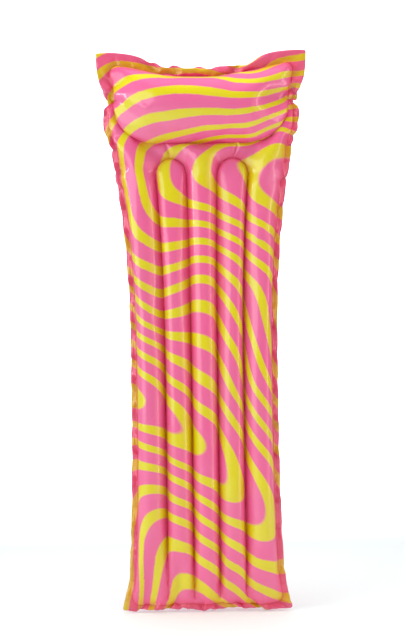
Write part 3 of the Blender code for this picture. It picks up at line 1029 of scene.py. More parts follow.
        # The ends of the pillow stay livelier, as the film is most puckered there.
        at_ends = np.clip((np.abs(self.flat[:, 0]) - fill.lively_from) / fill.lively_width, 0, 1)
        at_ends = at_ends * (self.flat[:, 1] > film.sizes.arch_base.flat)
        share = np.clip((gap - fill.calm_from) / (fill.calm_reach + fill.lively_reach * at_ends), 0, 1)
        share[np.where(film.mark[Mark.WELD] | film.mark[Mark.CUT])[0]] = 0
        share[:count][self.flange] = 0
        for pad in pads:
            share[self.pad_points(pad)] = 0
        membrane = Membrane(film)
        for _ in range(fill.calm_rounds):
            for push in fill.calm_pushes:
                moved = places.copy()
                for layer in (np.arange(count), self.back_index):
                    for axis in range(3):
                        pull = membrane.stiffness(places[layer, axis]) / membrane.total
                        moved[layer, axis] = places[layer, axis] - push * share[layer] * pull
                places = moved
        return places

    def pinched(self, places: np.ndarray) -> np.ndarray:
        """Press in the short creases above the arches, on both films.

        Args:
            places: place of each point.

        Returns:
            The places with the creases.
        """
        creased = np.where(self.film.mark[Mark.PINCH])[0]
        places[creased, 1] += self.fill.pinch
        places[self.back_index[creased], 1] -= self.fill.pinch
        return places

    def parted(self, places: np.ndarray) -> np.ndarray:
        """Part the two films where one has passed through the other.

        Args:
            places: place of each point.

        Returns:
            The parted places.
        """
        count = len(self.film.flat)
        front, back = places[self.doubled, 1], places[count:, 1]
        crossed = front > back - self.fill.least_gap
        middle = (front + back) / 2
        places[self.doubled, 1] = np.where(crossed, middle - self.fill.least_gap / 2, front)
        places[count:, 1] = np.where(crossed, middle + self.fill.least_gap / 2, back)
        LOG.info("films parted at %d points", int(crossed.sum()))
        return places

    def hold(self, mat: bpy.types.Object, pads: Sequence[Pad]) -> None:
        """Fix the welds, the pads and, more loosely, the cut edge.

        Args:
            mat: the films.
            pads: the places that valves hold.
        """
        fill, film = self.fill, self.film
        held = mat.vertex_groups.new(name="held")
        digits = 6
        outline = {tuple(np.round(point, digits)) for point in film.outline}
        for index in np.where(film.mark[Mark.WELD])[0]:
            on_outline = tuple(np.round(film.flat[index], digits)) in outline
            held.add([int(index)], fill.outline_hold if on_outline else fill.seam_hold, "REPLACE")
        for index in np.where(film.mark[Mark.CUT])[0]:
            share = ease(film.flat[index, 1] / fill.foot_reach)
            held.add([int(index)], between(fill.foot_edge_hold, fill.edge_hold, share), "REPLACE")
        for pad in pads:
            held.add(self.pad_points(pad).tolist(), 1.0, "REPLACE")
        inflated = mat.vertex_groups.new(name="inflated")
        loose = np.zeros(len(self.flat), bool)
        loose[:len(film.flat)] = self.flange
        inflated.add(np.where(~loose)[0].tolist(), 1.0, "REPLACE")


# The print


@dataclass(frozen=True)
class Band:
    """Places that one line of the print passes, seen on the front of the lounger.

    A whole number is the middle of a yellow band and a half the middle of the pink between two
    bands, with the other numbers in between. Each place is in centimetres, across from the
    middle and up from the foot.
    """

    number: float
    places: tuple[Point, ...]


RISING_BANDS = (
    Band(4, ((14.5, 135.5), (17, 127.5), (22.5, 123.5))),
    Band(3, ((0, 136), (3.5, 131), (8, 127.5), (16.5, 120))),
    Band(2, ((-12, 135.5), (-9, 128), (0, 124.5), (8, 120.5), (16.5, 114))),
    Band(1, ((-19, 134), (-17, 125), (-9, 120), (0, 119.5), (8, 115.5), (16.5, 107.4))),
    Band(0, ((-23, 127), (-22, 121), (-17, 114.5), (-9, 112.5), (0, 114), (8, 110), (16.5, 99.5))),
    Band(-1, ((-22, 111.5), (-17, 106.5), (-9, 106), (0, 108.5), (8, 103), (12.1, 95.5),
              (13.3, 89.6), (14.5, 85), (15.9, 80.5))),
    Band(-2, ((-17, 99.5), (-9, 99.5), (0, 102.5), (8, 94.5), (12.3, 81), (13.8, 72.6), (15.4, 68.5))),
    Band(-3, ((-21, 97.5), (-17, 93.5), (-9, 92), (0, 94), (8, 82.5), (14.5, 62.1), (16.2, 59))),
    Band(-4, ((-17.5, 88.3), (-14.5, 86.8), (-9.5, 85), (-5, 84.3), (-2.5, 83.7), (-0.5, 83), (2, 82),
              (5.8, 74.2), (6.9, 72), (9.3, 66.5), (14.5, 53.8), (16.4, 51))),
    Band(-5, ((-19, 84.7), (-14.5, 82.4), (-10.5, 78.6), (-8, 77.3), (-5.5, 76.2), (-0.5, 71.5), (6.7, 62),
              (8, 59), (16.3, 41), (17.8, 38), (19.6, 34.5), (20.2, 30))),
    Band(-6, ((-17.5, 78.2), (-14.2, 76.5), (-10.3, 71), (-5.5, 67.8), (-0.5, 61.7), (6.2, 51.1),
              (7.6, 47.8), (8.3, 45.2), (8.9, 42.5), (9.2, 39.9))),
    Band(-7, ((-19.8, 73.9), (-17.5, 72.3), (-14.3, 70), (-9.2, 64), (-7.5, 61.5), (-6, 59))),
    Band(-8, ((-22, 66.5), (-19.6, 65))),
)
TURNING_BANDS = (
    Band(-7.8, ((-18.5, 63.7),)),
    Band(-7.5, ((-16, 61.8),)),
    Band(-7.2, ((-6.4, 57),)),
    Band(-7, ((-3.5, 53.5), (-2.2, 51.5))),
    Band(-6.8, ((-0.6, 50.5),)),
    Band(-6.2, ((7, 39.4),)),
    Band(-6, ((10, 37),)),
    Band(-5.2, ((15.8, 26.2),)),
    Band(-5, ((20, 25.5),)),
)
FALLING_BANDS = (
    Band(-7, ((-22, 58), (-16.5, 55.9), (-13.2, 55), (-10.5, 52.8), (-8, 52.3))),
    Band(-6, ((-22, 53), (-17, 50.4), (-13.2, 49.3), (-10.6, 46.8), (-8, 45.1), (0, 40), (8, 35.4))),
    Band(-5, ((-22, 45.5), (-17, 44.5), (-8, 40.4), (-0.5, 34.2), (8, 27.5), (15, 24.3), (17.5, 23.5))),
    Band(-4, ((-17, 38), (-10.8, 35), (-8.5, 33.9), (-5.6, 32.8), (-0.5, 27.8), (8.2, 20.6), (17, 14.2),
              (-23, 28), (-23.5, 12.5))),
    Band(-3, ((-13.5, 30.6), (-17.5, 28.8), (-20.1, 23), (-20.5, 15.5), (-20.5, 3.5), (-8.5, 28.2),
              (-0.5, 21.6), (8, 13.6), (17, 6.5))),
    Band(-2.5, ((-17.1, 21.7), (-18, 15.5))),
    Band(-2, ((-15.5, 11), (-8.5, 20.2), (-0.5, 14.8), (8, 7.2))),
    Band(-1, ((-11, 4), (-8.5, 9), (-0.5, 6.6))),
)
PILLOW_BANDS = (
    Band(4, ((18.5, 139.5), (25.5, 141.5))),
    Band(3, ((2.5, 140.5), (8.5, 144), (19, 145.5), (27, 147.5))),
    Band(2, ((-9.5, 141.5), (-7, 143), (10.5, 146), (17, 146), (22, 149))),
    Band(1, ((-19, 140.5), (-17.5, 143.5), (-11, 146), (-7.5, 147), (4, 149), (17, 150.5), (23, 152.5))),
    Band(0, ((-25, 142.5), (-22.5, 148.5), (-19.5, 150.5), (-17, 151.5), (-8.5, 153), (4, 154), (17, 154.5),
             (24, 156.5))),
    Band(-1, ((-28.5, 147), (-25.5, 154), (-22, 157), (-17, 159.5), (-6.5, 161), (1.5, 160), (9, 159),
              (17, 159), (25.5, 160.5), (30, 161.5))),
    Band(-2, ((-27, 159), (-24.5, 162.5), (-22.5, 164), (-18, 165), (-13, 165), (-0.5, 164.5), (5.5, 164.5),
              (13, 163.5), (22, 164), (30, 165))),
    Band(-3, ((-31.5, 165.5), (-28, 168.5), (-23.5, 168.5), (-16.5, 167.5), (14, 165.5), (22, 168),
              (30, 170))),
    Band(-4, ((-33, 171.5),)),
)


@dataclass
class WavyPrint:
    """Two-colour wavy bands printed on the front film.

    A smooth field passes through every band's places with the band's number. The film is
    yellow where the field is close to a whole number.
    """

    bands: Sequence[Band]
    softness: float = 8e-5
    block: int = 8000

    def fit(self, film: InflatedMat, eye: Vector) -> None:
        """Carry the bands' places from the lounger's front to the flat film and fit the field.

        Args:
            film: the inflated mat.
            eye: where the lounger is seen from.
        """
        faces = film.front_faces() + film.film.faces[~film.film.in_chamber].tolist()
        seen = BVHTree.FromPolygons([Vector(place) for place in film.places], faces)
        places, numbers = [], []
        for band in self.bands:
            for across, up in band.places:
                aim = Vector((across / 100, 0, up / 100))
                hit, _, face, _ = seen.ray_cast(eye, (aim - eye).normalized())
                if hit is None:
                    hit, _, face, _ = seen.find_nearest(aim)
                places.append(self.flat_place(film, faces[face], np.array(hit)))
                numbers.append(band.number)
        self.knots = np.array(places)
        count = len(numbers)
        gaps = np.linalg.norm(self.knots[:, None] - self.knots[None], axis=2)
        plane = np.column_stack([np.ones(count), self.knots])
        system = np.zeros((count + 3, count + 3))
        system[:count, :count] = gaps ** 3 + self.softness * np.eye(count)
        system[:count, count:] = plane
        system[count:, :count] = plane.T
        solved = np.linalg.solve(system, np.concatenate([numbers, np.zeros(3)]))
        self.pulls, self.tilt = solved[:count], solved[count:]
        LOG.info("print fitted to %d places", count)

    @staticmethod
    def flat_place(film: InflatedMat, face: Sequence[int], hit: np.ndarray) -> np.ndarray:
        """Place on the flat film of a point on one of its triangles.

        Args:
            film: the inflated mat.
            face: the triangle's points.
            hit: the point in space.

        Returns:
            The flat place.
        """
        a, b, c = (film.places[index] for index in face)
        edges = np.stack([b - a, c - a], 1)
        (second, third), *_ = np.linalg.lstsq(edges, hit - a, rcond=None)
        first = 1 - second - third
        corners = film.flat[list(face)]
        return first * corners[0] + second * corners[1] + third * corners[2]

    def values(self, flat: np.ndarray) -> np.ndarray:
        """The field's values at places on the flat film.

        Args:
            flat: the places.

        Returns:
            One value a place.
        """
        made = np.empty(len(flat))
        for first in range(0, len(flat), self.block):
            part = flat[first:first + self.block]
            gaps = np.linalg.norm(part[:, None] - self.knots[None], axis=2)
            made[first:first + self.block] = gaps ** 3 @ self.pulls + self.tilt[0] + part @ self.tilt[1:]
        return made


@dataclass(frozen=True)
class ValvePlace:
    """Where a valve stands: its own axes and origin, worked out from its joints."""

    matrix: Matrix

    @classmethod
    def from_joints(cls, name: str, joints: Sequence[dict]) -> ValvePlace:
        """Find the valve's frame from its push and from its plug's hinge.

        Args:
            name: the valve's name.
            joints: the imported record's joints.

        Returns:
            The place. Local Z points out of the film, and height 0 is the film's face.
        """
        named = {joint["name"]: joint for joint in joints}
        outward = Vector(named[name + "_push"]["axis"]).normalized()
        hinge = named[name + "_plug_swing"]
        across = Vector(hinge["axis"]).normalized()
        up = outward.cross(across).normalized()
        origin = Vector(hinge["pos_m"]) + up * HINGE_DISTANCE - outward * HINGE_HEIGHT
        turn = Matrix((across, up, outward)).transposed().to_4x4()
        return cls(Matrix.Translation(origin) @ turn)


# Finishes


class Nodes:
    """Short ways to place shader nodes in one tree."""

    def __init__(self, tree: bpy.types.NodeTree) -> None:
        """Work on one tree."""
        self.tree = tree

    def add(self, kind: str, inputs: dict | None = None, **options: object) -> bpy.types.Node:
        """Place a node.

        Args:
            kind: the node's type.
            inputs: values or sockets for its inputs, by name or number.
            options: the node's own settings.

        Returns:
            The node.
        """
        node = self.tree.nodes.new(kind)
        for name, value in options.items():
            setattr(node, name, value)
        for key, value in (inputs or {}).items():
            if isinstance(value, bpy.types.NodeSocket):
                self.tree.links.new(value, node.inputs[key])
            else:
                node.inputs[key].default_value = value
        return node

    def math(self, operation: str, *values: object, clamp: bool = False) -> bpy.types.NodeSocket:
        """Result of a Math node."""
        node = self.add("ShaderNodeMath", dict(enumerate(values)), operation=operation, use_clamp=clamp)
        return node.outputs[0]

    def spread(self, value: object, low: float, high: float,
               to_low: float, to_high: float) -> bpy.types.NodeSocket:
        """Map a value from one range to another, held at its ends.

        Args:
            value: the value or its socket.
            low: where the first range starts.
            high: where it ends.
            to_low: where the second range starts.
            to_high: where it ends.

        Returns:
            The mapped value.
        """
        node = self.add("ShaderNodeMapRange", {"Value": value, "From Min": low, "From Max": high,
                                               "To Min": to_low, "To Max": to_high})
        return node.outputs["Result"]

    def noise(self, vector: bpy.types.NodeSocket, scale: float, detail: float = 2.0,
              roughness: float = 0.5) -> bpy.types.NodeSocket:
        """Noise from 0 to 1.

        Args:
            vector: place that it depends on.
            scale: how fine it is.
            detail: number of finer layers.
            roughness: how strong these are.

        Returns:
            The noise.
        """
        node = self.add("ShaderNodeTexNoise", {"Vector": vector, "Scale": scale, "Detail": detail,
                                               "Roughness": roughness})
        return node.outputs["Fac"]

    def mix(self, share: object, first: object, second: object, blend: str = "MIX") -> bpy.types.NodeSocket:
        """Mix two colours.

        Args:
            share: share of the second.
            first: first colour or its socket.
            second: second colour or its socket.
            blend: way of mixing.

        Returns:
            The mixed colour.
        """
        # For colours the inputs are 0, 6 and 7 and the output is 2.
        return self.add("ShaderNodeMix", {0: share, 6: first, 7: second},
                        data_type="RGBA", blend_type=blend).outputs[2]

    def attribute(self, name: str) -> bpy.types.NodeSocket:
        """Value of one of the piece's own attributes."""
        return self.add("ShaderNodeAttribute", attribute_name=name).outputs["Fac"]


def group(name: str, inputs: dict[str, tuple[str, object]], outputs: dict[str, str]) -> bpy.types.NodeTree:
    """Empty shader group with its sockets.

    Args:
        name: the group's name.
        inputs: socket type and default value, by name.
        outputs: socket type, by name.

    Returns:
        The group.
    """
    tree = bpy.data.node_groups.new(name, "ShaderNodeTree")
    for label, (kind, value) in inputs.items():
        socket = tree.interface.new_socket(label, in_out="INPUT", socket_type=kind)
        if value is not None:
            socket.default_value = value
    for label, kind in outputs.items():
        tree.interface.new_socket(label, in_out="OUTPUT", socket_type=kind)
    return tree


def film_creases() -> bpy.types.NodeTree:
    """Fine creases of thin film, deeper near welds, as a height.

    Returns:
        The group, which also tells where the welds and the valleys beside them are.
    """
    inputs = {"Flat Place": ("NodeSocketVector", None), "Weld Gap": ("NodeSocketFloat", 0.02),
              "Depth": ("NodeSocketFloat", 1.0)}
    tree = group("film_creases", inputs,
                 dict.fromkeys(("Height", "Weld Mask", "Valley Mask"), "NodeSocketFloat"))
    nodes = Nodes(tree)
    given = nodes.add("NodeGroupInput").outputs
    near = nodes.spread(given["Weld Gap"], 0.0, 0.030, 1.0, 0.12)
    broad = nodes.noise(given["Flat Place"], 42.0, 3.0, 0.55)
    long_creases = nodes.add("ShaderNodeMapping", {"Vector": given["Flat Place"],
                                                   "Scale": (160.0, 30.0, 1.0)})
    fine = nodes.noise(long_creases.outputs[0], 1.0, 3.0, 0.6)
    ridges = nodes.math("ABSOLUTE", nodes.math("SUBTRACT", fine, 0.5))
    creases = nodes.math("ADD", nodes.math("MULTIPLY", broad, 0.5), ridges)
    weld = nodes.spread(given["Weld Gap"], 0.0015, 0.0025, 1.0, 0.0)
    height = nodes.math("MULTIPLY", nodes.math("MULTIPLY", creases, near), given["Depth"])
    sunk = nodes.math("SUBTRACT", height, nodes.math("MULTIPLY", weld, 0.25))
    # Valley mask: where painted shade darkens the valleys beside the welds and pinch creases.
    valley = nodes.math("POWER", nodes.spread(given["Weld Gap"], 0.0, 0.034, 1.0, 0.0), 1.6)
    nodes.add("NodeGroupOutput", {"Height": sunk, "Weld Mask": weld, "Valley Mask": valley})
    return tree


def handling_wear() -> bpy.types.NodeTree:
    """Soft patches and faint scuffs of vinyl that has been handled, as a roughness.

    Returns:
        The group, which also tells where the patches are.
    """
    inputs = {"Place": ("NodeSocketVector", None), "Clean": ("NodeSocketFloat", 0.16),
              "Scuffed": ("NodeSocketFloat", 0.30)}
    tree = group("handling_wear", inputs, dict.fromkeys(("Roughness", "Patches"), "NodeSocketFloat"))
    nodes = Nodes(tree)
    given = nodes.add("NodeGroupInput").outputs
    patches = nodes.noise(given["Place"], 7.0, 4.0, 0.6)
    scratches = nodes.spread(nodes.noise(given["Place"], 180.0, 2.0, 0.7), 0.62, 0.75, 0.0, 1.0)
    amount = nodes.math("ADD", nodes.math("MULTIPLY", patches, 0.7),
                        nodes.math("MULTIPLY", scratches, 0.3), clamp=True)
    spread = nodes.math("MULTIPLY", nodes.math("SUBTRACT", given["Scuffed"], given["Clean"]), amount)
    nodes.add("NodeGroupOutput", {"Roughness": nodes.math("ADD", given["Clean"], spread),
                                  "Patches": patches})
    return tree


def empty_material(name: str) -> tuple[bpy.types.Material, Nodes]:
    """New material without nodes.

    Args:
        name: its name.

    Returns:
        The material and the way to place nodes in it.
    """
    material = bpy.data.materials.new(name)
    material.use_nodes = True
    material.node_tree.nodes.clear()
    return material, Nodes(material.node_tree)


class SharedEffects:
    """Node groups that several finishes use, each built once."""

    def __init__(self) -> None:
        """Build the groups."""
        self.creases = film_creases()
        self.wear = handling_wear()


@dataclass(frozen=True)
class FilmFinish:
    """Glossy vinyl film, plain or with the wavy print.

    The weld tint darkens the fused lines themselves. The valley shade tint is painted shade in the valleys
    beside the welds and pinch creases, and the flange shade tint is painted shade on the flange, where two
    films lie on each other. The painted glow is a faint reddish emission that stands in for light passing
    through the thin film.
    """

    name: str
    ground: Colour
    bands: Colour | None = None
    yellow_share: float = 0.39
    ink_edge: float = 0.026
    weld_tint: Colour = (0.86, 0.66, 0.66, 1.0)
    valley_shade_tint: Colour = (0.98, 0.50, 0.56, 1.0)
    flange_shade_tint: Colour = (0.93, 0.72, 0.66, 1.0)
    painted_glow_tint: Colour = (1.0, 0.36, 0.42, 1.0)
    painted_glow: float = 0.03
    clean: float = 0.30
    scuffed: float = 0.40
    coat: float = 0.60
    coat_roughness: float = 0.10
    crease_depth: float = 1.0

    def make(self, effects: SharedEffects) -> bpy.types.Material:
        """Build the material.

        Args:
            effects: the shared node groups.

        Returns:
            The material.
        """
        material, nodes = empty_material(self.name)
        flat = nodes.add("ShaderNodeUVMap", uv_map="flat_film").outputs[0]
        creases = nodes.add("ShaderNodeGroup", {
            "Flat Place": flat, "Weld Gap": nodes.attribute("weld_gap"), "Depth": self.crease_depth},
            node_tree=effects.creases)
        wear = nodes.add("ShaderNodeGroup", {
            "Place": flat, "Clean": self.clean, "Scuffed": self.scuffed}, node_tree=effects.wear)
        colour = self.colour(nodes, wear.outputs["Patches"])
        # The valley and flange tints are painted shade; the weld tint is the fused lines' own darker colour.
        for mask, tint in ((nodes.attribute("flange_shade_mask"), self.flange_shade_tint),
                           (creases.outputs["Valley Mask"], self.valley_shade_tint),
                           (creases.outputs["Weld Mask"], self.weld_tint)):
            colour = nodes.mix(mask, colour, nodes.mix(1.0, colour, tint, "MULTIPLY"))
        bump = nodes.add("ShaderNodeBump", {"Height": creases.outputs["Height"], "Strength": 0.5,
                                            "Distance": 0.003})
        # Painted glow: a faint reddish emission stands in for light that passes through the thin film, which
        # leaves it richer in colour.
        through = nodes.mix(1.0, colour, self.painted_glow_tint, "MULTIPLY")
        shader = nodes.add("ShaderNodeBsdfPrincipled", {
            "Base Color": colour, "Roughness": wear.outputs["Roughness"], "Normal": bump.outputs[0],
            "Emission Color": through, "Emission Strength": self.painted_glow,
            "Coat Weight": self.coat, "Coat Roughness": self.coat_roughness, "Specular IOR Level": 0.5})
        nodes.add("ShaderNodeOutputMaterial", {"Surface": shader.outputs[0]})
        return material

    def colour(self, nodes: Nodes, patches: bpy.types.NodeSocket) -> bpy.types.NodeSocket:
        """Colour of the film, with faint differences in the ink.

        Args:
            nodes: the material's nodes.
            patches: where the colour is a little stronger.

        Returns:
            The colour.
        """
        if self.bands is None:
            plain = nodes.add("ShaderNodeRGB")
            plain.outputs[0].default_value = self.ground
            printed = plain.outputs[0]
        else:
            phase = nodes.attribute("band_number")
            off = nodes.math("ABSOLUTE", nodes.math("SUBTRACT", phase, nodes.math("ROUND", phase)))
            edge = self.yellow_share / 2
            share = nodes.spread(off, edge - self.ink_edge, edge + self.ink_edge, 1.0, 0.0)
            printed = nodes.mix(share, self.ground, self.bands)
        hue = nodes.add("ShaderNodeHueSaturation", {
            "Hue": 0.5, "Saturation": nodes.spread(patches, 0.3, 0.7, 0.97, 1.03),
            "Value": nodes.spread(patches, 0.3, 0.7, 0.97, 1.02), "Color": printed})
        return hue.outputs[0]


@dataclass(frozen=True)
class SoftVinylFinish:
    """Thick milky vinyl of the valves, moulded with a fine grain."""

    name: str
    tone: Colour
    grain: float = 0.35
    clean: float = 0.30
    scuffed: float = 0.48
    cloud_shade: float = 0.93

    def make(self, effects: SharedEffects) -> bpy.types.Material:
        """Build the material.

        Args:
            effects: the shared node groups.

        Returns:
            The material.
        """
        material, nodes = empty_material(self.name)
        place = nodes.add("ShaderNodeTexCoord").outputs["Object"]
        wear = nodes.add("ShaderNodeGroup", {
            "Place": place, "Clean": self.clean, "Scuffed": self.scuffed}, node_tree=effects.wear)
        cloud = nodes.spread(nodes.noise(place, 240.0, 3.0), 0.3, 0.7, 0.0, 1.0)
        darker = tuple(channel * self.cloud_shade for channel in self.tone[:3]) + (1.0,)
        colour = nodes.mix(cloud, self.tone, darker)
        grain = nodes.noise(place, 2600.0, 2.0)
        bump = nodes.add("ShaderNodeBump", {"Height": grain, "Strength": self.grain, "Distance": 0.0002})
        shader = nodes.add("ShaderNodeBsdfPrincipled", {
            "Base Color": colour, "Roughness": wear.outputs["Roughness"], "Normal": bump.outputs[0],
            "Subsurface Weight": 0.35, "Subsurface Scale": 0.002})
        nodes.add("ShaderNodeOutputMaterial", {"Surface": shader.outputs[0]})
        return material


@dataclass(frozen=True)
class StudioFinish:
    """Matt, faintly cool white of the studio floor, with a little light of its own."""

    name: str = "studio_white"
    tone: Colour = (0.87, 0.93, 0.93, 1.0)
    glow: Colour = (1.0, 0.98, 0.98, 1.0)
    glow_strength: float = 0.08

    def make(self) -> bpy.types.Material:
        """Build the material.

        Returns:
            The material.
        """
        material = bpy.data.materials.new(self.name)
        material.use_nodes = True
        shader = material.node_tree.nodes["Principled BSDF"]
        for name, value in {"Base Color": self.tone, "Roughness": 0.9, "Specular IOR Level": 0.1,
                            "Emission Color": self.glow, "Emission Strength": self.glow_strength}.items():
            shader.inputs[name].default_value = value
        return material


# The two films as finished pieces


class Side(Enum):
    """The two films."""

    FRONT = "front_film"
    BACK = "back_film"


def store(mesh: bpy.types.Mesh, name: str, values: np.ndarray) -> None:
    """Store one number a point on a mesh, for its finish.

    Args:
        mesh: the mesh.
        name: the attribute's name.
        values: the numbers.
    """
    mesh.attributes.new(name, "FLOAT", "POINT").data.foreach_set("value", values)


@dataclass
class FilmPieces:
    """The printed front film and the plain back film."""

    mat: InflatedMat
    wavy: WavyPrint
    pads: Sequence[Pad]
    thickness: float = 0.0003
    between_films: float = 0.00015
    weld_sharpness: float = 1.0
    pinch_sharpness: float = 0.7
    pinch_gap: float = 0.007
    pinch_slope: float = 2.5
    ends_on_line: float = 1e-5
    middle_on_line: float = 1e-3

    def faces(self, side: Side) -> list[list[int]]:
        """Triangles of one film, with its half of the flange and without the valve holes.

        Args:
            side: which film.

        Returns:
            The triangles, by the points' numbers.
        """
        film = self.mat.film
        flange = film.faces[~film.in_chamber]
        if side is Side.FRONT:
            return self.mat.front_faces() + flange.tolist()
        middles = film.flat[film.faces].mean(1)
        in_hole = np.zeros(len(middles), bool)
        for pad in self.pads:
            in_hole |= np.linalg.norm(middles - np.array(pad.flat), axis=1) < min(pad.radii)
        kept = film.faces[film.in_chamber & ~in_hole]
        return self.mat.back_index[kept][:, ::-1].tolist() + flange[:, ::-1].tolist()

    def make(self, side: Side, material: bpy.types.Material) -> bpy.types.Object:
        """Build one film.

        Args:
            side: which film.
            material: its finish.

        Returns:
            The film, a closed thin body.
        """
        used, faces = renumbered(np.array(self.faces(side)), len(self.mat.places))
        places, flat = self.mat.places[used], self.mat.flat[used]
        places = places + self.outward(places, faces) * self.between_films
        mesh = bpy.data.meshes.new(side.value)
        mesh.from_pydata(places.tolist(), [], faces.tolist())
        piece = bpy.data.objects.new(side.value, mesh)
        bpy.context.scene.collection.objects.link(piece)
        self.add_flat_map(mesh, flat)
        self.crease_welds(mesh, flat)
        self.subdivide(piece)
        self.add_fields(piece.data, side)
        mesh.materials.append(material)
        piece.data.shade_smooth()
        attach(piece, "root")
        LOG.info("%s: %d faces", side.value, len(piece.data.polygons))
        return piece

    @staticmethod
    def outward(places: np.ndarray, faces: np.ndarray) -> np.ndarray:
        """Directions in which the points face.

        Args:
            places: the points.
            faces: the triangles between them.

        Returns:
            One unit vector a point.
        """
        first, second = (places[faces[:, k]] - places[faces[:, 0]] for k in (1, 2))
        turned = np.cross(first, second)
        normals = np.zeros_like(places)
        for corner in range(3):
            np.add.at(normals, faces[:, corner], turned)
        return normals / np.maximum(np.linalg.norm(normals, axis=1, keepdims=True), 1e-12)

    @staticmethod
    def add_flat_map(mesh: bpy.types.Mesh, flat: np.ndarray) -> None:
        """Map the film by its place on the flat sheet, two metres to one unit.

        Args:
            mesh: the film.
            flat: its points' places on the flat sheet.
        """
        layer = mesh.uv_layers.new(name="flat_film")
        corners = np.empty(len(mesh.loops), int)
        mesh.loops.foreach_get("vertex_index", corners)
        layer.data.foreach_set("uv", (flat[corners] / 2 + (0.5, 0.02)).ravel())
        place = mesh.attributes.new("flat_place", "FLOAT_VECTOR", "POINT")
        place.data.foreach_set("vector", np.column_stack([flat, np.zeros(len(flat))]).ravel())

    def crease_welds(self, mesh: bpy.types.Mesh, flat: np.ndarray) -> None:
        """Keep the welds and the pinch creases sharp when the film is subdivided.

        Args:
            mesh: the film.
            flat: its points' places on the flat sheet.
        """
        film = self.mat.film
        ends = np.empty(len(mesh.edges) * 2, int)
        mesh.edges.foreach_get("vertices", ends)
        ends = ends.reshape(-1, 2)
        sharpness = np.zeros(len(ends))
        for lines, most in ((film.weld_lines, self.weld_sharpness),
                            (film.pinch_lines, self.pinch_sharpness)):
            gap = film.weld_gap(flat, lines)
            middle = film.weld_gap((flat[ends[:, 0]] + flat[ends[:, 1]]) / 2, lines)
            on_line = (gap[ends] < self.ends_on_line).all(1) & (middle < self.middle_on_line)
            sharpness[on_line] = most
        crease = mesh.attributes.new("crease_edge", "FLOAT", "EDGE")
        crease.data.foreach_set("value", sharpness)
        mesh.edges.foreach_set("use_seam", sharpness > 0)

    def subdivide(self, piece: bpy.types.Object) -> None:
        """Join the triangles in pairs, subdivide them and give the film its thickness.

        Args:
            piece: the film. Its creased edges are marked as seams, so that no pair crosses them.
        """
        activate(piece)
        bpy.ops.object.mode_set(mode="EDIT")
        bpy.ops.mesh.select_all(action="SELECT")
        bpy.ops.mesh.tris_convert_to_quads(face_threshold=math.radians(35), shape_threshold=math.radians(50),
                                           seam=True)
        bpy.ops.mesh.mark_seam(clear=True)
        bpy.ops.object.mode_set(mode="OBJECT")
        smooth = piece.modifiers.new("smooth", "SUBSURF")
        smooth.levels = smooth.render_levels = 1
        smooth.uv_smooth = "NONE"
        bpy.ops.object.modifier_apply(modifier=smooth.name)
        wall = piece.modifiers.new("film", "SOLIDIFY")
        wall.thickness = self.thickness
        wall.offset = 1.0
        bpy.ops.object.modifier_apply(modifier=wall.name)

    def add_fields(self, mesh: bpy.types.Mesh, side: Side) -> None:
        """Store each point's distance to a weld and, in front, its place in the print.

        Args:
            mesh: the subdivided film.
            side: which film.
        """
        flat = np.empty(len(mesh.vertices) * 3)
        mesh.attributes["flat_place"].data.foreach_get("vector", flat)
        flat = flat.reshape(-1, 3)[:, :2]
        film = self.mat.film
        # A pinch crease is a shallower and narrower valley than a weld, so its distance counts more; this
        # also gives the pinch creases the painted valley shade.
        pinch = self.pinch_gap + self.pinch_slope * film.weld_gap(flat, film.pinch_lines)
        store(mesh, "weld_gap", np.minimum(film.weld_gap(flat), pinch))
        # Mask of the flange, where two films lie on each other; it carries the flange's painted shade.
        store(mesh, "flange_shade_mask", (~inside(flat, film.outline)).astype(float))
        if side is Side.FRONT:
            store(mesh, "band_number", self.wavy.values(flat))


# The valves as finished pieces


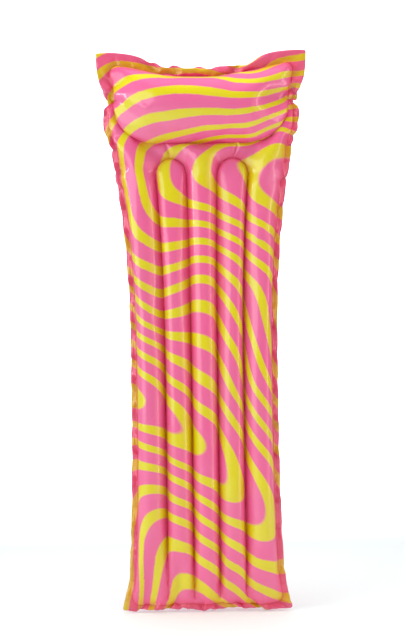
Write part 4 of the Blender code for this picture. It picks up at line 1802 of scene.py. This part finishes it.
class Form:
    """One piece in the making: a circle drawn out into a turned shape, then worked on in edit mode."""

    SIDES = 48

    def __init__(self, name: str, profile: Sequence[Point], closed: bool) -> None:
        """Turn the shape.

        Args:
            name: the piece's name.
            profile: radius and height of each step of its section.
            closed: whether the section closes on itself, leaving a bore.
        """
        bpy.ops.object.select_all(action="DESELECT")
        radius, height = profile[0]
        bpy.ops.mesh.primitive_circle_add(vertices=self.SIDES, radius=radius, location=(0, 0, height))
        self.piece = bpy.context.active_object
        self.piece.name = self.piece.data.name = name
        bpy.ops.object.transform_apply(location=True, rotation=True, scale=True)
        bpy.ops.object.mode_set(mode="EDIT")
        bpy.ops.mesh.select_mode(type="EDGE")
        bpy.ops.mesh.select_all(action="SELECT")
        for next_radius, next_height in profile[1:]:
            wider = next_radius / radius
            self.draw((0, 0, next_height - height), (wider, wider, 1), (0, 0, next_height))
            radius, height = next_radius, next_height
        bpy.ops.mesh.select_all(action="DESELECT")
        bpy.ops.mesh.select_non_manifold()
        if closed:
            bpy.ops.mesh.bridge_edge_loops()
        else:
            bpy.ops.mesh.fill_holes(sides=0)
        bpy.ops.mesh.select_all(action="SELECT")
        bpy.ops.mesh.normals_make_consistent(inside=False)

    @staticmethod
    def draw(move: Place, size: Place, about: Place) -> None:
        """Extrude what is selected, move it and scale it about a point."""
        bpy.ops.mesh.extrude_region_move(TRANSFORM_OT_translate={"value": move})
        bpy.ops.transform.resize(value=size, center_override=about)

    def choose(self, keep: Callable[[Vector, Vector], bool]) -> None:
        """Select the faces that pass a test.

        Args:
            keep: the test, on a face's middle and normal.
        """
        bpy.ops.mesh.select_mode(type="FACE")
        bpy.ops.mesh.select_all(action="DESELECT")
        bpy.ops.object.mode_set(mode="OBJECT")
        for face in self.piece.data.polygons:
            face.select = keep(face.center, face.normal)
        bpy.ops.object.mode_set(mode="EDIT")

    def finish(self, rounding: float, place: Matrix, material: bpy.types.Material) -> bpy.types.Object:
        """Round the edges, put the piece in its place and give it its finish.

        Args:
            rounding: width of the rounded edges.
            place: the valve's place.
            material: the piece's finish.

        Returns:
            The piece.
        """
        bpy.ops.mesh.select_all(action="SELECT")
        bpy.ops.mesh.normals_make_consistent(inside=False)
        bpy.ops.object.mode_set(mode="OBJECT")
        activate(self.piece)
        bevel = self.piece.modifiers.new("rounding", "BEVEL")
        bevel.width = rounding
        bevel.segments = 2
        bevel.limit_method = "ANGLE"
        bevel.angle_limit = math.radians(40)
        bpy.ops.object.modifier_apply(modifier=bevel.name)
        bpy.ops.object.shade_smooth_by_angle(angle=math.radians(35))
        self.piece.matrix_world = place
        bpy.ops.object.transform_apply(location=True, rotation=True, scale=True)
        self.piece.data.materials.append(material)
        return self.piece


@dataclass
class Valve:
    """Push-in air valve: welded base, stem with its stop, plug on a strap, and check flap.

    Sizes are in metres on the valve's own axes: Z points out of the film, and height 0 is its face.
    Each section lists radius and height. Each draw moves the chosen face, then scales it about a
    point.
    """

    name: str
    place: Matrix
    material: bpy.types.Material
    stem_radius: float = 0.0065
    stem_bore: float = 0.0045
    base_radius: float = 0.0135
    base_top: float = 0.0011
    tick_height: float = 0.00018
    collar_radius: float = 0.0088
    collar_top: float = 0.0035
    rim_base: float = 0.0038
    rim_top: float = 0.0054
    stem_foot: float = -0.0141
    stop_height: float = 0.0016
    cap_radius: float = 0.0075
    gap: float = 0.0003
    strap_half: float = 0.0024
    flap_radius: float = 0.0056
    step: float = 0.0003
    rounding: float = 0.00008
    stem_rounding: float = 0.00010
    flap_rounding: float = 0.00004

    def base(self) -> bpy.types.Object:
        """Welded flange with an embossed ring, weld ticks and the collar round the stem.

        Returns:
            The piece.
        """
        bore, low, top, step = self.stem_radius + self.gap, self.gap, self.base_top, self.step
        rim, collar, collar_top = self.base_radius, self.collar_radius, self.collar_top
        ring_end, collar_foot = rim - 0.0024, collar + 0.0008
        form = Form(self.name + "_flange", [
            (bore, low), (rim - 0.0004, low), (rim, low + step), (rim - step, top), (rim - 0.0011, top),
            (rim - 0.0014, top + step), (rim - 0.0021, top + step), (ring_end, top),
            (collar_foot, top), (collar, top + 0.0006), (collar, collar_top - step),
            (collar - step, collar_top), (bore + step, collar_top), (bore, collar_top - step)], closed=True)
        middle = (ring_end + collar_foot) / 2

        def tick(centre: Vector, normal: Vector) -> bool:
            """Every other face of the flat ring between the emboss and the collar.

            Args:
                centre: the face's middle.
                normal: its normal.

            Returns:
                Whether the face is one of them.
            """
            number = round(math.atan2(centre.y, centre.x) / math.tau * Form.SIDES - 0.5)
            on_ring = normal.z > 0.9 and abs(math.hypot(centre.x, centre.y) - middle) < step
            return on_ring and number % 2 == 0

        form.choose(tick)
        form.draw((0, 0, self.tick_height), (0.995, 0.995, 1), (0, 0, top))
        return form.finish(self.rounding, self.place, self.material)

    def stem(self) -> bpy.types.Object:
        """Tube with its stop lip, rim, lug and the knuckle that holds the plug's strap.

        Returns:
            The piece.
        """
        foot, edge = self.stem_foot, 0.0004
        stop, rim = self.stem_radius + 0.0009, self.stem_radius + 0.0011
        form = Form(self.name + "_tube", [
            (self.stem_bore, foot), (stop - edge, foot), (stop, foot + edge),
            (stop, foot + self.stop_height), (self.stem_radius, foot + self.stop_height),
            (self.stem_radius, self.rim_base),
            (rim, self.rim_base), (rim, self.rim_top - edge), (rim - edge, self.rim_top),
            (self.stem_bore + edge, self.rim_top), (self.stem_bore, self.rim_top - edge)], closed=True)
        form.choose(lambda centre, normal: normal.y < -0.8 and abs(centre.x) < self.strap_half
                    and self.rim_base < centre.z < self.rim_top - edge)
        far = (0, self.gap - HINGE_DISTANCE, 0)
        form.draw((0, 0, 0), (1, 0, 1), far)
        form.draw((0, -2 * self.gap, 0), (1, 1, 1), far)
        form.choose(lambda centre, normal: normal.z > 0.8 and centre.y < far[1])
        form.draw((0, 0, HINGE_HEIGHT + self.gap - self.rim_top + edge), (1, 1, 1), far)
        return form.finish(self.stem_rounding, self.place, self.material)

    def plug(self) -> bpy.types.Object:
        """Cap with its tapered shank, dished top, thinned strap and ribbed pull tab.

        Returns:
            The piece.
        """
        under, cap, step = HINGE_HEIGHT + self.gap / 2, self.cap_radius, self.step
        shank, band, low = self.stem_bore - self.gap, under + 0.0012, under + step
        tip, top, dish, centre_hole = under - 0.005, under + 0.002, under + 0.0017, 0.0012
        form = Form(self.name + "_cap", [
            (centre_hole, tip), (shank - 0.0014, tip), (shank - 0.001, under - 0.0046), (shank, under),
            (cap - 0.0004, under), (cap, low), (cap, band), (cap, under + 0.0016), (cap - 0.0004, top),
            (cap - 0.0016, top), (cap - 0.0020, dish), (centre_hole, dish)], closed=False)

        def side(way: int) -> Callable[[Vector, Vector], bool]:
            """Test for the faces where the strap (-1) or the tab (1) leaves the cap's side."""
            return lambda centre, normal: (normal.y * way > 0.8 and abs(centre.x) < self.strap_half
                                           and low < centre.z < band)

        form.choose(side(-1))
        form.draw((0, 0, 0), (1, 0, 1), (0, -cap - 0.0006, 0))
        # The strap is thin next to the cap and thick again at its hinge end.
        for length, thickness, height in ((0.0004, 0.5, low), (0.0009, 1, under), (0.0004, 1.9, low)):
            form.draw((0, -length, 0), (1, 1, thickness), (0, 0, height))
        form.choose(side(1))
        form.draw((0, 0, 0), (1, 0, 1), (0, cap + 0.0007, 0))
        for rib in range(3):
            form.draw((0, 0.0003, 0), (1, 1, 0.7), (0, 0, low))
            form.draw((0, 0.0004, 0), (1, 1, 1), (0, 0, under))
            form.draw((0, 0.0003, 0), (1 - 0.04 * rib, 1, 1 / 0.7), (0, 0, low))
        form.draw((0, 0.0006, 0), (0.72, 1, 0.9), (0, 0, under + 0.0006))
        return form.finish(self.rounding, self.place, self.material)

    def flap(self) -> bpy.types.Object:
        """Thin check flap under the stem, ringed on its inner face.

        Returns:
            The piece.
        """
        top, radius, centre_hole = self.stem_foot - self.gap, self.flap_radius, 0.0010
        under, ring = top - 0.0004, top - 0.0006
        form = Form(self.name + "_check", [
            (centre_hole, under), (radius - 0.0022, under), (radius - 0.0019, ring),
            (radius - 0.0003, ring), (radius, under), (radius, top - 0.0001),
            (radius - 0.0001, top), (centre_hole, top)], closed=False)
        return form.finish(self.flap_rounding, self.place, self.material)

    def build(self) -> None:
        """Make every piece and let it move with its own body."""
        chamber = self.name.removesuffix("_valve")
        makers = {"base": self.base, "stem": self.stem, "plug": self.plug, "flap": self.flap}
        for part, make in makers.items():
            piece = make()
            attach(piece, "root" if part == "base" else f"{chamber}_{part}")
            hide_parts(f"{self.name}_{part}")
            LOG.info("%s: %d faces", piece.name, len(piece.data.polygons))


# Studio


@dataclass
class Studio:
    """Pale floor, soft lights and the camera at the photographed view.

    The view takes in view_height metres at the lounger, and the camera rolls by lean degrees.
    """

    eye: Vector = field(default_factory=lambda: Vector((-0.004, -5.0, 0.8975)))
    view_height: float = 1.970
    lean: float = 0.80
    sensor: float = 24.0
    floor_size: float = 16
    floor_drop: float = 0.0006
    backdrop_height: float = 8
    sweep: float = 3.0
    air_light: float = 0.27

    def camera(self) -> None:
        """Place the camera."""
        data = bpy.data.cameras.new("view")
        data.sensor_fit = "VERTICAL"
        data.sensor_height = self.sensor
        data.lens = self.sensor * -self.eye.y / self.view_height
        camera = bpy.data.objects.new("view", data)
        camera.location = self.eye
        camera.rotation_euler = (math.radians(90), math.radians(self.lean), 0)
        bpy.context.scene.collection.objects.link(camera)
        bpy.context.scene.camera = camera

    def floor(self) -> None:
        """Floor that curves up into a backdrop."""
        bpy.ops.object.select_all(action="DESELECT")
        bpy.ops.mesh.primitive_plane_add(size=self.floor_size, location=(0, 0, -self.floor_drop))
        floor = bpy.context.active_object
        floor.name = "studio_floor"
        bpy.ops.object.transform_apply(location=True, rotation=True, scale=True)
        bpy.ops.object.mode_set(mode="EDIT")
        bpy.ops.mesh.select_all(action="DESELECT")
        bpy.ops.object.mode_set(mode="OBJECT")
        for edge in floor.data.edges:
            edge.select = all(floor.data.vertices[k].co.y > 0 for k in edge.vertices)
        bpy.ops.object.mode_set(mode="EDIT")
        bpy.ops.mesh.select_mode(type="EDGE")
        bpy.ops.mesh.extrude_region_move(TRANSFORM_OT_translate={"value": (0, 0, self.backdrop_height)})
        bpy.ops.object.mode_set(mode="OBJECT")
        bend = floor.modifiers.new("sweep", "BEVEL")
        bend.width = self.sweep
        bend.segments = 24
        bpy.ops.object.modifier_apply(modifier=bend.name)
        floor.data.shade_smooth()
        floor.data.materials.append(StudioFinish().make())

    @staticmethod
    def lamp(name: str, place: Place, aim: Place, size: Point, power: float,
             tint: Place = (1.0, 1.0, 1.0), mirrored: bool = True) -> None:
        """Add a rectangular soft light.

        Args:
            name: the light's name.
            place: where it stands, in space.
            aim: the point that it faces.
            size: its width and height.
            power: its power in watts.
            tint: its colour.
            mirrored: whether gloss shows it.
        """
        data = bpy.data.lights.new(name, "AREA")
        data.shape = "RECTANGLE"
        data.size, data.size_y = size
        data.energy = power
        data.color = tint
        lamp = bpy.data.objects.new(name, data)
        lamp.location = place
        lamp.visible_glossy = mirrored
        lamp.rotation_euler = (Vector(aim) - Vector(place)).to_track_quat("-Z", "Y").to_euler()
        bpy.context.scene.collection.objects.link(lamp)

    def lights(self) -> None:
        """Light the lounger."""
        self.lamp("left_box", (-3.6, -2.9, 1.7), (0, 0, 0.9), (3.6, 3.0), 82)
        self.lamp("left_strip", (-3.4, -0.5, 1.9), (0, 0, 1.2), (0.35, 1.4), 18)
        self.lamp("right_strip", (2.6, -0.9, 1.2), (0, 0, 0.9), (0.22, 2.8), 9)
        self.lamp("warm_fill", (3.2, -1.6, 1.1), (0, 0, 0.9), (2.2, 2.2), 22, (1.0, 0.46, 0.42))
        self.lamp("overhead", (0, -0.3, 4.2), (0, 0, 0.2), (3.4, 3.0), 124, mirrored=False)
        self.lamp("backdrop_light", (0, 3.0, 3.6), (0, 8, 1.5), (4.0, 1.5), 420)
        world = bpy.data.worlds.new("studio_air")
        world.use_nodes = True
        air = world.node_tree.nodes["Background"]
        air.inputs["Color"].default_value = (1, 1, 1, 1)
        air.inputs["Strength"].default_value = self.air_light
        bpy.context.scene.world = world
        bpy.context.scene.view_settings.view_transform = "Standard"


def main() -> None:
    """Build the dressed lounger and its studio."""
    sizes = MatSizes()
    studio = Studio()
    places = {name: ValvePlace.from_joints(name, frame["joints"]) for name in VALVE_SPOTS}
    pads = [Pad(VALVE_SPOTS[name], place.matrix) for name, place in places.items()]
    mat = InflatedMat(FlatFilm(sizes, pads, spacing=0.012), pads, AirFill())
    wavy = WavyPrint(RISING_BANDS + TURNING_BANDS + FALLING_BANDS + PILLOW_BANDS)
    wavy.fit(mat, studio.eye)
    effects = SharedEffects()
    printed = FilmFinish("printed_vinyl", PINK, YELLOW).make(effects)
    plain = FilmFinish("plain_vinyl", PINK, clean=0.28, scuffed=0.38, coat=0.25).make(effects)
    milky = SoftVinylFinish("valve_vinyl", MILKY).make(effects)
    films = FilmPieces(mat, wavy, pads)
    for side, finish, node in ((Side.FRONT, printed, "front_sheet"), (Side.BACK, plain, "back_sheet")):
        piece = films.make(side, finish)
        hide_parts(node)
    for name, place in places.items():
        Valve(name, place.matrix, milky).build()
    studio.floor()
    studio.lights()
    studio.camera()


if __name__ == "__main__":
    logging.basicConfig(level=logging.INFO, format="%(name)s: %(message)s")
    main()
